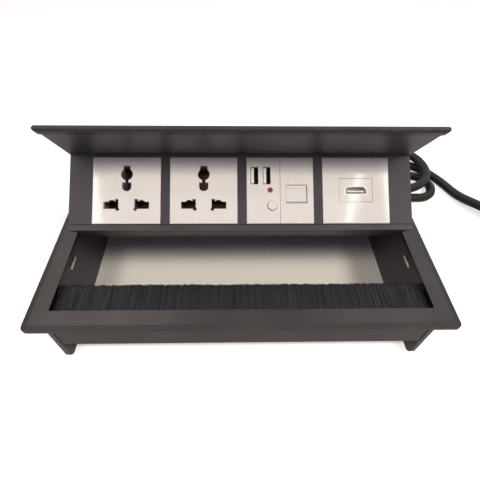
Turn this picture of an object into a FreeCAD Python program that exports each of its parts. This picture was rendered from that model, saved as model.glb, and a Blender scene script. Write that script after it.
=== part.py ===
import FreeCAD, Part
import math
import os
from FreeCAD import Vector

# Flip-up table socket box, standing open on its end plates. Millimetres.
# X runs left to right, Y from the front to the back, Z up.
# The origin is on the floor, below the bezel's middle.

os.makedirs("parts", exist_ok=True)

# Bezel, the frame that lies on a table top around the cut-out
bezel_length = 258.0
bezel_depth = 158.0
bezel_thickness = 3.0
bevel_width = 3.5
bevel_drop = 1.0
bezel_corner_radius = 4.0
side_flange = 13.0
front_flange = 13.0
rear_flange = 11.9
opening_corner_radius = 1.0
stand_height = 55.0

# End plates and skirts below the bezel
end_plate_thickness = 3.0
end_plate_setback = 2.3
end_plate_inset = 7.2
end_plate_corner_radius = 6.0
skirt_thickness = 2.0
skirt_inset = 7.6
skirt_height = 31.0
screw_port_wall = 1.4
lug_thickness = 1.6
lug_width = 12.0
lug_height = 8.0
lug_from_front = 22.0
lug_from_rear = 48.0

# Screws
screw_radius = 1.3
screw_head_radius = 2.7
screw_head_height = 1.5
hole_clearance = 0.05
skirt_screw_length = 10.0
bezel_screw_length = 4.4
cheek_screw_length = 8.0

# Cable brush
brush_lip = 1.4
brush_lip_reach = 4.0
brush_hook = 1.0
carrier_height = 5.0
carrier_depth = 2.8
carrier_wall = 0.8
bristle_thickness = 3.0
bristle_tip_thickness = 1.6
bristle_reach = 36.4
bristle_tuft_pitch = 4.0
bristle_notch_depth = 2.2
bristle_end_gap = 2.5

# Hinge and flip unit
open_angle = 53.6
hinge_radius = 6.6
hinge_rear_gap = 0.4
unit_side_gap = 1.35
lid_thickness = 3.4
lid_reach = 106.1
lid_curl_end_angle = -30.0
trim_depth = 5.4
trim_height = 4.6
trim_overhang = 0.95
trim_bevel_width = 4.3
trim_bevel_drop = 1.55
trim_undercut = 1.25
trim_end_radius = 1.5
panel_distance = 60.8
panel_thickness = 2.0
panel_groove_depth = 0.9
groove_clearance = 0.1
unit_height = 51.0
rail_height = 3.6
rail_front_step = 0.5
rail_gap = 0.6
rail_lip_thickness = 1.5
rail_lip_height = 1.3
rail_port_radius = 2.4
cover_sheet = 1.2
cover_distance = 15.0
cover_tab_reach = 10.0
cover_tab_drop = 12.0
cheek_thickness = 2.5
lid_port_distance = 19.5
lid_port_drop = 3.0

# Pivot and stop
pivot_pin_radius = 2.2
pivot_head_radius = 3.4
pivot_head_height = 2.0
running_clearance = 0.05
bush_wall = 0.8
bush_flange_radius = 5.5
bush_flange_thickness = 1.0
washer_radius = 3.4
washer_side_gap = 0.1
stop_pin_radius = 1.5
stop_radius = 24.0
stop_angle = 215.0
stop_slot_clearance = 0.2
stop_slot_overrun = 1.0
stop_plate_margin = 4.0
stop_plate_rear_reach = 4.0

# Socket modules, 45 mm square faces clipped into the panel
module_size = 45.0
module_gap = 6.1
module_top_gap = 1.8
module_proud = 1.0
module_rim_overlap = 1.3
module_fit = 0.1
module_front_wall = 2.5
module_collar_depth = 9.0
module_collar_wall = 1.5
module_edge_radius = 0.6
module_base_depth = 27.0
snap_width = 8.0
snap_height = 0.5

# Universal socket holes, from the middle of the face
earth_slot_width = 4.8
earth_slot_top = 16.7
earth_round_height = 10.8
earth_round_radius = 4.0
earth_neck_width = 2.4
earth_lower_width = 6.1
earth_lower_top = 5.3
earth_lower_bottom = -0.5
line_slot_outer = 15.0
line_slot_inner = 5.25
line_slot_top = -7.65
line_slot_bottom = -12.4
line_round_middle = 9.7
line_round_radius = 2.8
line_round_height = -9.2
line_blade_width = 2.3
line_blade_top = -5.85
line_leg_length = 2.3
line_leg_angle = 28.0
line_leg_overlap = 0.9
contact_pocket_depth = 20.0
contact_thickness = 0.6

# Charger half module
usb_port_width = 5.1
usb_port_height = 12.0
usb_port_middles = (-17.2, -8.9)
usb_port_height_above = 10.05
usb_shell_wall = 0.3
usb_shell_length = 14.0
usb_tongue_width = 1.8
usb_tongue_height = 10.4
usb_tongue_offset = -1.2
led_radius = 1.75
led_place = (-6.7, 0.2)
button_radius = 3.2
button_gap = 0.25
button_place = (-5.3, -10.4)
button_proud = 1.3
button_travel = 1.0
button_flange = 0.45
button_flange_thickness = 1.2
button_edge_radius = 0.5
button_stem_radius = 1.5
board_thickness = 1.6
board_ledge = 1.2
usb_case_wall = 0.8

# Data half module
shutter_window = (3.8, 18.1, -8.8, 3.75)
shutter_overlap = 0.8
shutter_recess = 0.8
shutter_thickness = 1.2
shutter_fit = 0.15
shutter_travel = 9.4
jack_width = 11.8
jack_height = 8.0
jack_depth = 15.0
jack_wall = 1.4
jack_contact_count = 8
jack_contact_pitch = 1.02
jack_contact_width = 0.4
jack_contact_height = 1.0
jack_from_window_top = 0.5
shutter_grip_drop = 1.5
shutter_grip_height = 1.0
shutter_grip_proud = 0.3

# Video module
insert_width = 22.5
insert_height = 16.2
insert_gap = 0.25
insert_recess = 0.15
hdmi_width = 15.0
hdmi_height = 5.5
hdmi_taper = 1.6
hdmi_shell_wall = 0.4
hdmi_shell_depth = 12.0
hdmi_tongue_width = 11.2
hdmi_tongue_height = 1.1
hdmi_tongue_setback = 1.2
hdmi_shell_setback = 0.1
insert_flange = 1.5
hdmi_coupler_width = 19.0
hdmi_coupler_height = 13.0

# Spring clips at the ends
clip_width = 10.6
clip_thickness = 0.8
clip_from_front = 57.0
clip_slot_drop = 10.0
clip_slot_height = 3.0
clip_slot_clearance = 0.2
clip_bow = 5.0
clip_bow_drop = 30.0
clip_foot_drop = 40.0
rivet_radius = 1.2

# Mains cord
cord_diameter = 8.5
cord_bore_clearance = 0.1
gland_x = -60.0
gland_height = 31.0
gland_body_radius = 6.0
gland_hex_radius = 9.0
gland_hex_length = 4.0
gland_dome_length = 12.0
gland_dome_tip_radius = 5.6
gland_dome_inset = 1.2
gland_nut_length = 4.0
gland_joint_inset = 1.0
grommet_drop = 30.0
grommet_radius = 6.2
grommet_groove_radius = 5.2
grommet_flange = 1.4
lead_inside_length = 8.0

# Terminals and wires behind the modules
terminal_block_length = 28.0
terminal_block_height = 16.0
terminal_pitch = 9.0
terminal_screw_radius = 2.0
terminal_screw_height = 2.0
terminal_well_depth = 3.0
wire_radius = 1.4
wire_pitch = 3.4

# Loose loops and coil of the cord
coil_centre = (45.0, 129.5)
coil_outer_radius = 52.0
coil_turns_per_layer = 2
coil_gap = 0.6
floor_gap = 0.1
loop_layer_gap = 1.0

# Plug, lying on its back with the pins up
plug_width = 49.0
plug_length = 50.0
plug_height = 22.0
plug_cord_height = 10.0
plug_corner_radius = 9.0
plug_top_inset = 2.5
plug_taper = 4.0
relief_length = 14.0
relief_wall = 3.0
relief_lip = 1.2
earth_pin = (8.0, 4.0, 22.7)
line_pin = (4.0, 6.4, 17.7)
pin_rise = 11.1
pin_spread = 22.2

# Places worked out from the sizes above
half_length = bezel_length / 2
bezel_front = -bezel_depth / 2
bezel_rear = bezel_depth / 2
bezel_bottom = stand_height - bezel_thickness
opening_half = half_length - side_flange
opening_front = bezel_front + front_flange
opening_rear = bezel_rear - rear_flange
plate_inner = opening_half + end_plate_setback
plate_outer = plate_inner + end_plate_thickness
skirt_bottom = bezel_bottom - skirt_height
front_skirt_face = bezel_front + skirt_inset
rear_skirt_face = bezel_rear - skirt_inset
port_hole_radius = screw_radius + hole_clearance
port_radius = port_hole_radius + screw_port_wall
pivot_y = opening_rear - hinge_rear_gap - hinge_radius
pivot_z = stand_height - hinge_radius
unit_half = opening_half - unit_side_gap
lid_top = hinge_radius
lid_under = lid_top - lid_thickness
panel_front = -panel_distance
panel_back = panel_front + panel_thickness
unit_bottom = lid_under - unit_height
cheek_inner = unit_half - cheek_thickness
trim_under = lid_top - trim_height
cover_back = -cover_distance
module_middle = lid_under - module_top_gap - module_size / 2
module_pitch = module_size + module_gap
module_front = panel_front - module_proud
cutout_half = module_size / 2 - module_rim_overlap
collar_half = cutout_half - module_fit
wall_back = module_front + module_front_wall
base_half = collar_half - module_collar_wall - module_fit
base_back = wall_back + module_base_depth
cord_radius = cord_diameter / 2
cord_bore = cord_radius + cord_bore_clearance
axis_x = Vector(1, 0, 0)
axis_y = Vector(0, 1, 0)
axis_z = Vector(0, 0, 1)


# Basic shapes

def block(x0, x1, y0, y1, z0, z1):
    low = Vector(min(x0, x1), min(y0, y1), min(z0, z1))
    return Part.makeBox(abs(x1 - x0), abs(y1 - y0), abs(z1 - z0), low)


def rod(start, direction, radius, length):
    return Part.makeCylinder(radius, length, start, direction)


def prism_along_x(outline, x0, x1):
    # Outline holds (y, z) pairs.
    corners = [Vector(x0, y, z) for y, z in outline]
    face = Part.Face(Part.makePolygon(corners + corners[:1]))
    return face.extrude(Vector(x1 - x0, 0, 0))


def prism_along_y(outline, y0, y1):
    # Outline holds (x, z) pairs.
    corners = [Vector(x, y0, z) for x, z in outline]
    face = Part.Face(Part.makePolygon(corners + corners[:1]))
    return face.extrude(Vector(0, y1 - y0, 0))


def prism_along_z(outline, z0, z1):
    # Outline holds (x, y) pairs.
    corners = [Vector(x, y, z0) for x, y in outline]
    face = Part.Face(Part.makePolygon(corners + corners[:1]))
    return face.extrude(Vector(0, 0, z1 - z0))


def round_upright_edges(shape, radius):
    upright = [edge for edge in shape.Edges if abs(edge.tangentAt(edge.FirstParameter).z) > 0.99]
    return shape.makeFillet(radius, upright)


def rounded_outline(half_x, low_y, high_y, radius, z):
    # Closed wire of four lines and four quarter arcs.
    edges = []
    centres = [
        (half_x - radius, high_y - radius, 0), (radius - half_x, high_y - radius, 90),
        (radius - half_x, low_y + radius, 180), (half_x - radius, low_y + radius, 270),
    ]
    points = []
    for cx, cy, start in centres:
        arc = [math.radians(start + step) for step in (0, 45, 90)]
        points.append([Vector(cx + radius * math.cos(a), cy + radius * math.sin(a), z) for a in arc])
    for corner, following in zip(points, points[1:] + points[:1]):
        edges.append(Part.Arc(*corner).toShape())
        edges.append(Part.LineSegment(corner[2], following[0]).toShape())
    return Part.Wire(edges)


def hex_bar(centre, radius, length):
    # Six-sided bar along Y.
    outline = []
    for corner in range(6):
        angle = math.radians(60 * corner)
        outline.append((centre.x + radius * math.cos(angle), centre.z + radius * math.sin(angle)))
    return prism_along_y(outline, centre.y, centre.y + length)


def strip(points, thickness, y0, y1):
    # A bent metal strip: the line of points in XZ, given its thickness on the left of its run.
    left = []
    count = len(points)
    for index, (x, z) in enumerate(points):
        before = points[max(index - 1, 0)]
        after = points[min(index + 1, count - 1)]
        normals = []
        for start, end in ((before, (x, z)), ((x, z), after)):
            run = math.hypot(end[0] - start[0], end[1] - start[1])
            if run > 0:
                normals.append(((start[1] - end[1]) / run, (end[0] - start[0]) / run))
        nx = sum(normal[0] for normal in normals)
        nz = sum(normal[1] for normal in normals)
        scale = len(normals) * thickness / (nx * nx + nz * nz)
        left.append((x + nx * scale, z + nz * scale))
    return prism_along_y(points + left[::-1], y0, y1)


def countersunk_screw(face_point, direction, length):
    cone = Part.makeCone(screw_head_radius, screw_radius, screw_head_height, face_point, direction)
    return cone.fuse(rod(face_point, direction, screw_radius, length)).removeSplitter()


def countersunk_hole(face_point, direction, length):
    wide = screw_head_radius + hole_clearance
    cone = Part.makeCone(wide, port_hole_radius, screw_head_height, face_point, direction)
    return cone.fuse(rod(face_point, direction, port_hole_radius, length))


def mirror_x(shape):
    return shape.mirror(Vector(0, 0, 0), axis_x)


def write(name, *shapes):
    solids = []
    for shape in shapes:
        solids.extend(shape.Solids)
    for solid in solids:
        if not solid.isValid() or not solid.isClosed():
            print("not a closed valid solid:", name)
    result = solids[0] if len(solids) == 1 else Part.makeCompound(solids)
    result.exportStep("parts/" + name + ".step")
    print(name, len(solids), round(sum(solid.Volume for solid in solids), 1))


def opened(shape):
    # Flip-unit pieces are drawn closed, about the pivot, and then turned open.
    turned = shape.copy()
    turned.translate(Vector(0, pivot_y, pivot_z))
    turned.rotate(Vector(0, pivot_y, pivot_z), axis_x, -open_angle)
    return turned


def opened_point(y, z):
    turn = math.radians(-open_angle)
    turned_y = y * math.cos(turn) - z * math.sin(turn)
    turned_z = y * math.sin(turn) + z * math.cos(turn)
    return pivot_y + turned_y, pivot_z + turned_z


def write_unit(name, *shapes):
    write(name, *[opened(shape) for shape in shapes])


# Frame

def end_screw_places():
    # Heights and depths of the screws that hold each end plate to the two skirts.
    low = skirt_bottom + port_radius
    high = bezel_bottom - skirt_height / 2
    front = front_skirt_face + skirt_thickness + port_hole_radius
    rear = rear_skirt_face - skirt_thickness - port_hole_radius
    return [(front, low), (front, high), (rear, low), (rear, high)]


def lug_places():
    return [bezel_front + lug_from_front, bezel_rear - lug_from_rear]


def lug_screw_height():
    return bezel_bottom - lug_height / 2


def make_bezel():
    base_z = stand_height - bevel_drop
    outer = rounded_outline(half_length, bezel_front, bezel_rear, bezel_corner_radius, bezel_bottom)
    slab = Part.Face(outer).extrude(Vector(0, 0, base_z - bezel_bottom))
    lower = rounded_outline(half_length, bezel_front, bezel_rear, bezel_corner_radius, base_z)
    upper = rounded_outline(
        half_length - bevel_width, bezel_front + bevel_width, bezel_rear - bevel_width,
        bezel_corner_radius - bevel_width, stand_height,
    )
    bevel = Part.makeLoft([lower, upper], True, True)
    frame = slab.fuse(bevel)
    opening = block(-opening_half, opening_half, opening_front, opening_rear, bezel_bottom, stand_height)
    frame = frame.cut(round_upright_edges(opening, opening_corner_radius))
    for side in (-1, 1):
        for y in lug_places():
            inner = side * (plate_inner - lug_thickness)
            lug = block(
                inner, side * plate_inner, y - lug_width / 2, y + lug_width / 2,
                bezel_bottom - lug_height, bezel_bottom,
            )
            hole_start = Vector(inner, y, lug_screw_height())
            hole = rod(hole_start, axis_x * side, port_hole_radius, lug_thickness)
            frame = frame.fuse(lug.cut(hole))
    write("top_bezel", frame.removeSplitter())


def make_end_plates():
    front = bezel_front + end_plate_inset
    rear = bezel_rear - end_plate_inset
    plate = block(plate_inner, plate_outer, front, rear, 0, bezel_bottom)
    foot_edges = []
    for edge in plate.Edges:
        along_x = abs(edge.tangentAt(edge.FirstParameter).x) > 0.99
        if along_x and edge.CenterOfMass.z < 1:
            foot_edges.append(edge)
    plate = plate.makeFillet(end_plate_corner_radius, foot_edges)
    inward = Vector(-1, 0, 0)
    for y, z in end_screw_places():
        plate = plate.cut(countersunk_hole(Vector(plate_outer, y, z), inward, end_plate_thickness))
    for y in lug_places():
        place = Vector(plate_outer, y, lug_screw_height())
        plate = plate.cut(countersunk_hole(place, inward, end_plate_thickness))
    pivot = Vector(plate_inner, pivot_y, pivot_z)
    plate = plate.cut(rod(pivot, axis_x, pivot_pin_radius + running_clearance, end_plate_thickness))
    stop_y, stop_z = stop_place()
    stop = Vector(plate_inner, stop_y, stop_z)
    plate = plate.cut(rod(stop, axis_x, stop_pin_radius + running_clearance, end_plate_thickness))
    plate = plate.cut(clip_slot())
    plate = plate.cut(rod(clip_rivet_place(), axis_x, rivet_radius + hole_clearance, end_plate_thickness))
    write("right_end_plate", plate)
    write("left_end_plate", mirror_x(plate))


def screw_port(y, z, half):
    # A screw channel along the skirt, with a slit so that the extrusion can be made.
    outer = rod(Vector(-half, y, z), axis_x, port_radius, 2 * half)
    return outer.cut(rod(Vector(-half, y, z), axis_x, port_hole_radius, 2 * half))


def make_skirts():
    half = plate_inner
    front_inner = front_skirt_face + skirt_thickness
    rear_inner = rear_skirt_face - skirt_thickness
    places = end_screw_places()
    lip_end = front_inner + brush_lip_reach
    lip_gap = carrier_height + 2 * groove_clearance
    upper = bezel_bottom - brush_lip
    lower = upper - lip_gap
    hook = (carrier_height - bristle_thickness) / 2
    front_outline = [
        (front_skirt_face, skirt_bottom), (front_inner, skirt_bottom), (front_inner, lower - brush_lip),
        (lip_end, lower - brush_lip), (lip_end, lower + hook), (lip_end - brush_hook, lower + hook),
        (lip_end - brush_hook, lower), (front_inner, lower), (front_inner, upper),
        (lip_end - brush_hook, upper), (lip_end - brush_hook, upper - hook), (lip_end, upper - hook),
        (lip_end, bezel_bottom), (front_skirt_face, bezel_bottom),
    ]
    front = prism_along_x(front_outline, -half, half)
    rear = block(-half, half, rear_inner, rear_skirt_face, skirt_bottom, bezel_bottom)
    ports = [(screw_port(y, z, half), y, z) for y, z in places]
    for port, y, z in ports[:2]:
        front = front.fuse(port)
    for port, y, z in ports[2:]:
        rear = rear.fuse(port)
    for y, z in places:
        hole = rod(Vector(-half, y, z), axis_x, port_hole_radius, 2 * half)
        front = front.cut(hole)
        rear = rear.cut(hole)
    gland_hole = rod(Vector(gland_x, rear_inner - 2 * port_radius, gland_height), axis_y,
                     gland_body_radius + hole_clearance, skirt_thickness + 4 * port_radius)
    nut_room = block(gland_x - gland_hex_radius - 1, gland_x + gland_hex_radius + 1,
                     rear_inner - 2 * port_radius, rear_inner, skirt_bottom, bezel_bottom)
    rear = rear.cut(gland_hole).cut(nut_room)
    write("front_skirt", front.removeSplitter())
    write("rear_skirt", rear.removeSplitter())


def make_frame_screws():
    long_screws = []
    short_screws = []
    for side in (-1, 1):
        inward = Vector(-side, 0, 0)
        for y, z in end_screw_places():
            place = Vector(side * plate_outer, y, z)
            long_screws.append(countersunk_screw(place, inward, skirt_screw_length))
        for y in lug_places():
            place = Vector(side * plate_outer, y, lug_screw_height())
            short_screws.append(countersunk_screw(place, inward, bezel_screw_length))
    write("skirt_screws", *long_screws)
    write("bezel_screws", *short_screws)


def make_brush():
    half = plate_inner - bristle_end_gap
    back = front_skirt_face + skirt_thickness + groove_clearance
    top = bezel_bottom - brush_lip - groove_clearance
    bottom = top - carrier_height
    middle = (top + bottom) / 2
    root = back + carrier_wall
    carrier = block(-half, half, back, back + carrier_depth, bottom, top)
    groove = block(-half, half, root, back + carrier_depth,
                   middle - bristle_thickness / 2, middle + bristle_thickness / 2)
    write("brush_carrier", carrier.cut(groove))
    tip = bezel_front + bristle_reach
    side_view = [
        (root, middle - bristle_thickness / 2), (tip, middle - bristle_tip_thickness / 2),
        (tip, middle + bristle_tip_thickness / 2), (root, middle + bristle_thickness / 2),
    ]
    wedge = prism_along_x(side_view, -half, half)
    tufts = int(2 * half / bristle_tuft_pitch)
    pitch = 2 * half / tufts
    comb = [(-half, root), (-half, tip - bristle_notch_depth)]
    for tuft in range(tufts):
        left = -half + tuft * pitch
        lean = 0.5 + 0.2 * math.sin(2.3 * tuft)
        length = bristle_notch_depth * 0.35 * (1 + math.cos(1.7 * tuft)) / 2
        comb.append((left + lean * pitch, tip - length))
        comb.append((left + pitch, tip - bristle_notch_depth))
    comb.append((half, root))
    tips = prism_along_z(comb, bottom, top)
    write("brush_bristles", wedge.common(tips))


# Hinge

def stop_place():
    angle = math.radians(stop_angle)
    return pivot_y + stop_radius * math.cos(angle), pivot_z + stop_radius * math.sin(angle)


def make_pivots():
    pins = []
    washers = []
    bushes = []
    stops = []
    flange_end = unit_half + bush_flange_thickness
    for side in (-1, 1):
        outward = Vector(side, 0, 0)
        inner_end = cheek_inner - 1
        start = Vector(side * inner_end, pivot_y, pivot_z)
        pin = rod(start, outward, pivot_pin_radius, plate_outer - inner_end)
        head_start = Vector(side * plate_outer, pivot_y, pivot_z)
        head = rod(head_start, outward, pivot_head_radius, pivot_head_height)
        pins.append(pin.fuse(head).removeSplitter())
        bore = pivot_pin_radius + running_clearance
        washer_start = Vector(side * (flange_end + washer_side_gap), pivot_y, pivot_z)
        washer_length = plate_inner - flange_end - washer_side_gap
        washer = rod(washer_start, outward, washer_radius, washer_length)
        washers.append(washer.cut(rod(washer_start, outward, bore, washer_length)))
        axis_point = Vector(side * cheek_inner, 0, 0)
        sleeve = rod(axis_point, outward, bore + bush_wall, cheek_thickness)
        flange = rod(Vector(side * unit_half, 0, 0), outward, bush_flange_radius, bush_flange_thickness)
        inside = rod(axis_point, outward, bore, cheek_thickness + bush_flange_thickness)
        bushes.append(sleeve.fuse(flange).cut(inside).removeSplitter())
        stop_y, stop_z = stop_place()
        stop_start = Vector(side * (cheek_inner + 0.2), stop_y, stop_z)
        stops.append(rod(stop_start, outward, stop_pin_radius, plate_outer - cheek_inner - 0.2))
    write("pivot_pins", *pins)
    write("friction_washers", *washers)
    write("stop_pins", *stops)
    write_unit("pivot_bushes", *bushes)


# Spring clips

def clip_y_range():
    middle = bezel_front + clip_from_front
    return middle - clip_width / 2, middle + clip_width / 2


def clip_slot():
    low, high = clip_y_range()
    top = stand_height - clip_slot_drop
    return block(plate_inner, plate_outer, low - clip_slot_clearance, high + clip_slot_clearance,
                 top - clip_slot_height, top)


def clip_rivet_place():
    low, high = clip_y_range()
    return Vector(plate_inner, (low + high) / 2, stand_height - clip_foot_drop - 3 * rivet_radius)


def make_clips():
    low, high = clip_y_range()
    slot_top = stand_height - clip_slot_drop - clip_slot_clearance
    slot_bottom = slot_top - clip_slot_height + 2 * clip_slot_clearance
    outer = plate_outer + hole_clearance + clip_thickness
    inner = plate_inner - hole_clearance
    bow_height = stand_height - clip_bow_drop
    foot = stand_height - clip_foot_drop
    line = [
        (inner, slot_top), (inner, slot_bottom + clip_thickness), (outer, slot_bottom + clip_thickness),
        (outer, slot_bottom - 2 * clip_thickness), (plate_outer + clip_bow, bow_height),
        (outer, foot), (outer, foot - 6 * rivet_radius),
    ]
    clip = strip(line, -clip_thickness, low, high)
    rivet_hole = rod(clip_rivet_place(), axis_x, rivet_radius + hole_clearance, 2 * clip_bow)
    clip = clip.cut(rivet_hole)
    write("right_spring_clip", clip)
    write("left_spring_clip", mirror_x(clip))
    place = clip_rivet_place()
    shank = rod(place, axis_x, rivet_radius, end_plate_thickness + clip_thickness + 2 * hole_clearance)
    head_start = Vector(plate_outer + clip_thickness + 2 * hole_clearance, place.y, place.z)
    rivet = shank.fuse(rod(head_start, axis_x, 2 * rivet_radius, clip_thickness))
    write("clip_rivets", rivet, mirror_x(rivet))


# Flip unit: lid, panel and box

def rail_port_place():
    return panel_back + rail_lip_thickness + rail_port_radius + 0.3, unit_bottom + rail_port_radius + 0.4


def lid_port_place():
    return -lid_port_distance, lid_under - lid_port_drop


def cover_tab_place():
    return cover_back - cover_sheet - cover_tab_reach / 2 - 1.0, module_middle - cover_tab_drop


def make_lid():
    half = unit_half
    plate_front = -lid_reach + trim_depth
    slab = block(-half, half, plate_front, 0, lid_under, lid_top)
    curl_half = cheek_inner - 0.25
    curl = Part.makeCylinder(hinge_radius, 2 * curl_half, Vector(-curl_half, 0, 0), axis_x)
    curl = curl.cut(rod(Vector(-curl_half, 0, 0), axis_x, lid_under, 2 * curl_half))
    keep_angle = math.radians(lid_curl_end_angle)
    reach = 3 * hinge_radius
    wedge = prism_along_x(
        [(0, 0), (reach * math.cos(keep_angle), reach * math.sin(keep_angle)), (reach, reach), (0, reach)],
        -curl_half, curl_half,
    )
    lid = slab.fuse(curl.common(wedge))
    port_y, port_z = lid_port_place()
    inside = cheek_inner
    port = rod(Vector(-inside, port_y, port_z), axis_x, port_radius, 2 * inside)
    neck = block(-inside, inside, port_y - port_radius, port_y + port_radius, port_z, lid_under)
    lid = lid.fuse(port).fuse(neck)
    lid = lid.cut(rod(Vector(-inside, port_y, port_z), axis_x, port_hole_radius, 2 * inside))
    groove = block(-half, half, panel_front - groove_clearance, panel_back + groove_clearance,
                   lid_under, lid_under + panel_groove_depth + groove_clearance)
    write_unit("lid", lid.cut(groove).removeSplitter())


def make_lid_trim():
    half = unit_half + trim_overhang
    front = -lid_reach
    back = front + trim_depth
    nose_top = lid_top - trim_bevel_drop
    nose = block(-half, half, front, back, trim_under, nose_top)
    corners = [edge for edge in nose.Edges if abs(edge.tangentAt(edge.FirstParameter).y) > 0.99]
    nose = nose.makeFillet(trim_end_radius, corners)
    slope_half = half - trim_end_radius
    slope = prism_along_x(
        [(front, nose_top), (back, nose_top), (back, lid_top), (front + trim_bevel_width, lid_top)],
        -slope_half, slope_half,
    )
    undercut = prism_along_x(
        [(front, trim_under), (front + trim_undercut, trim_under), (front, trim_under + trim_undercut)],
        -half, half,
    )
    write_unit("lid_front_trim", nose.fuse(slope).cut(undercut).removeSplitter())


def make_face_plate():
    bottom = unit_bottom + rail_height + rail_gap - groove_clearance
    plate = block(-unit_half, unit_half, panel_front, panel_back, bottom, lid_under + panel_groove_depth)
    for x in module_places():
        hole = block(x - cutout_half, x + cutout_half, panel_front, panel_back,
                     module_middle - cutout_half, module_middle + cutout_half)
        plate = plate.cut(hole)
    write_unit("face_plate", plate)


def make_lower_rail():
    half = unit_half
    front = panel_front - rail_front_step
    lip_front = panel_back + groove_clearance
    lip_back = lip_front + rail_lip_thickness
    rail_top = unit_bottom + rail_height
    lip_top = rail_top + rail_lip_height
    outline = [
        (front, unit_bottom), (lip_back, unit_bottom), (lip_back, lip_top),
        (lip_front, lip_top), (lip_front, rail_top), (front, rail_top),
    ]
    rail = prism_along_x(outline, -half, half)
    port_y, port_z = rail_port_place()
    port_half = cheek_inner
    port = rod(Vector(-port_half, port_y, port_z), axis_x, rail_port_radius, 2 * port_half)
    web = block(-port_half, port_half, lip_front, port_y, unit_bottom, port_z)
    rail = rail.fuse(port).fuse(web)
    rail = rail.cut(rod(Vector(-port_half, port_y, port_z), axis_x, port_hole_radius, 2 * port_half))
    for side in (-1, 1):
        notch = block(side * cheek_inner, side * half, panel_back + groove_clearance, port_y,
                      unit_bottom, lip_top)
        rail = rail.cut(notch)
    write_unit("lower_rail", rail.removeSplitter())


def make_rear_cover():
    half = cheek_inner - groove_clearance
    port_y = rail_port_place()[0]
    front = port_y + rail_port_radius + 0.2
    floor_sheet = block(-half, half, front, cover_back, unit_bottom, unit_bottom + cover_sheet)
    port_low = lid_port_place()[1]
    back_sheet = block(-half, half, cover_back - cover_sheet, cover_back, unit_bottom, lid_under - 0.2)
    cover = floor_sheet.fuse(back_sheet)
    tab_y, tab_z = cover_tab_place()
    for side in (-1, 1):
        tab = block(side * (half - 2 * cover_sheet), side * half, tab_y - cover_tab_reach / 2,
                    cover_back - cover_sheet, tab_z - cover_tab_reach / 2, tab_z + cover_tab_reach / 2)
        hole = rod(Vector(side * (half - 3 * cover_sheet), tab_y, tab_z), axis_x * side,
                   port_hole_radius, 4 * cover_sheet)
        cover = cover.fuse(tab).cut(hole)
    reach = port_radius + 2 * groove_clearance
    port_room = block(-half, half, -lid_port_distance - reach, -lid_port_distance + reach,
                      port_low - reach, lid_under)
    cover = cover.cut(port_room)
    hole = rod(Vector(gland_x, cover_back - 2 * cover_sheet, -grommet_drop), axis_y,
               grommet_groove_radius + hole_clearance, 3 * cover_sheet)
    write_unit("rear_cover", cover.cut(hole).removeSplitter())


def cheek_screw_places():
    return [rail_port_place(), lid_port_place(), cover_tab_place()]


def make_cheeks():
    sector_radius = stop_radius + stop_plate_margin
    side_plate = block(cheek_inner, unit_half, panel_back + groove_clearance, cover_back,
                       unit_bottom, lid_under)
    start = Vector(cheek_inner, 0, 0)
    sector = rod(start, axis_x, sector_radius, cheek_thickness)
    window = block(cheek_inner, unit_half, -sector_radius, stop_plate_rear_reach, -sector_radius, lid_under)
    ear = rod(start, axis_x, hinge_radius, cheek_thickness)
    ear_room = block(cheek_inner, unit_half, -hinge_radius, 0, lid_under, hinge_radius)
    cheek = side_plate.fuse(sector.common(window)).fuse(ear.cut(ear_room))
    bore = pivot_pin_radius + running_clearance + bush_wall + hole_clearance
    cheek = cheek.cut(rod(start, axis_x, bore, cheek_thickness))
    cheek = cheek.cut(stop_slot())
    for y, z in cheek_screw_places():
        place = Vector(unit_half, y, z)
        cheek = cheek.cut(countersunk_hole(place, Vector(-1, 0, 0), cheek_thickness))
    cheek = cheek.removeSplitter()
    write_unit("right_cheek", cheek)
    write_unit("left_cheek", mirror_x(cheek))
    screws = []
    for side in (-1, 1):
        for y, z in cheek_screw_places():
            place = Vector(side * unit_half, y, z)
            screws.append(countersunk_screw(place, Vector(-side, 0, 0), cheek_screw_length))
    write_unit("cheek_screws", *screws)


def stop_slot():
    # Arc slot about the pivot, swept from the closed pose to the open one by the fixed stop pin.
    half_width = stop_pin_radius + stop_slot_clearance
    first = math.radians(stop_angle - stop_slot_overrun)
    last = math.radians(stop_angle + open_angle + stop_slot_overrun)
    middle = (first + last) / 2

    def on_circle(radius, angle):
        return Vector(cheek_inner, radius * math.cos(angle), radius * math.sin(angle))

    inner = stop_radius - half_width
    outer = stop_radius + half_width
    edges = [
        Part.Arc(on_circle(outer, first), on_circle(outer, middle), on_circle(outer, last)).toShape(),
        Part.LineSegment(on_circle(outer, last), on_circle(inner, last)).toShape(),
        Part.Arc(on_circle(inner, last), on_circle(inner, middle), on_circle(inner, first)).toShape(),
        Part.LineSegment(on_circle(inner, first), on_circle(outer, first)).toShape(),
    ]
    slot = Part.Face(Part.Wire(edges)).extrude(Vector(cheek_thickness, 0, 0))
    for angle in (first, last):
        slot = slot.fuse(rod(on_circle(stop_radius, angle), axis_x, half_width, cheek_thickness))
    return slot


# Modules. A place on a face is x and height from the module's middle and depth behind its front.

def module_places():
    return [(index - 1.5) * module_pitch for index in range(4)]


def on_face(centre_x, x0, x1, low, high, depth0, depth1):
    return block(centre_x + x0, centre_x + x1, module_front + depth0, module_front + depth1,
                 module_middle + low, module_middle + high)


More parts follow.
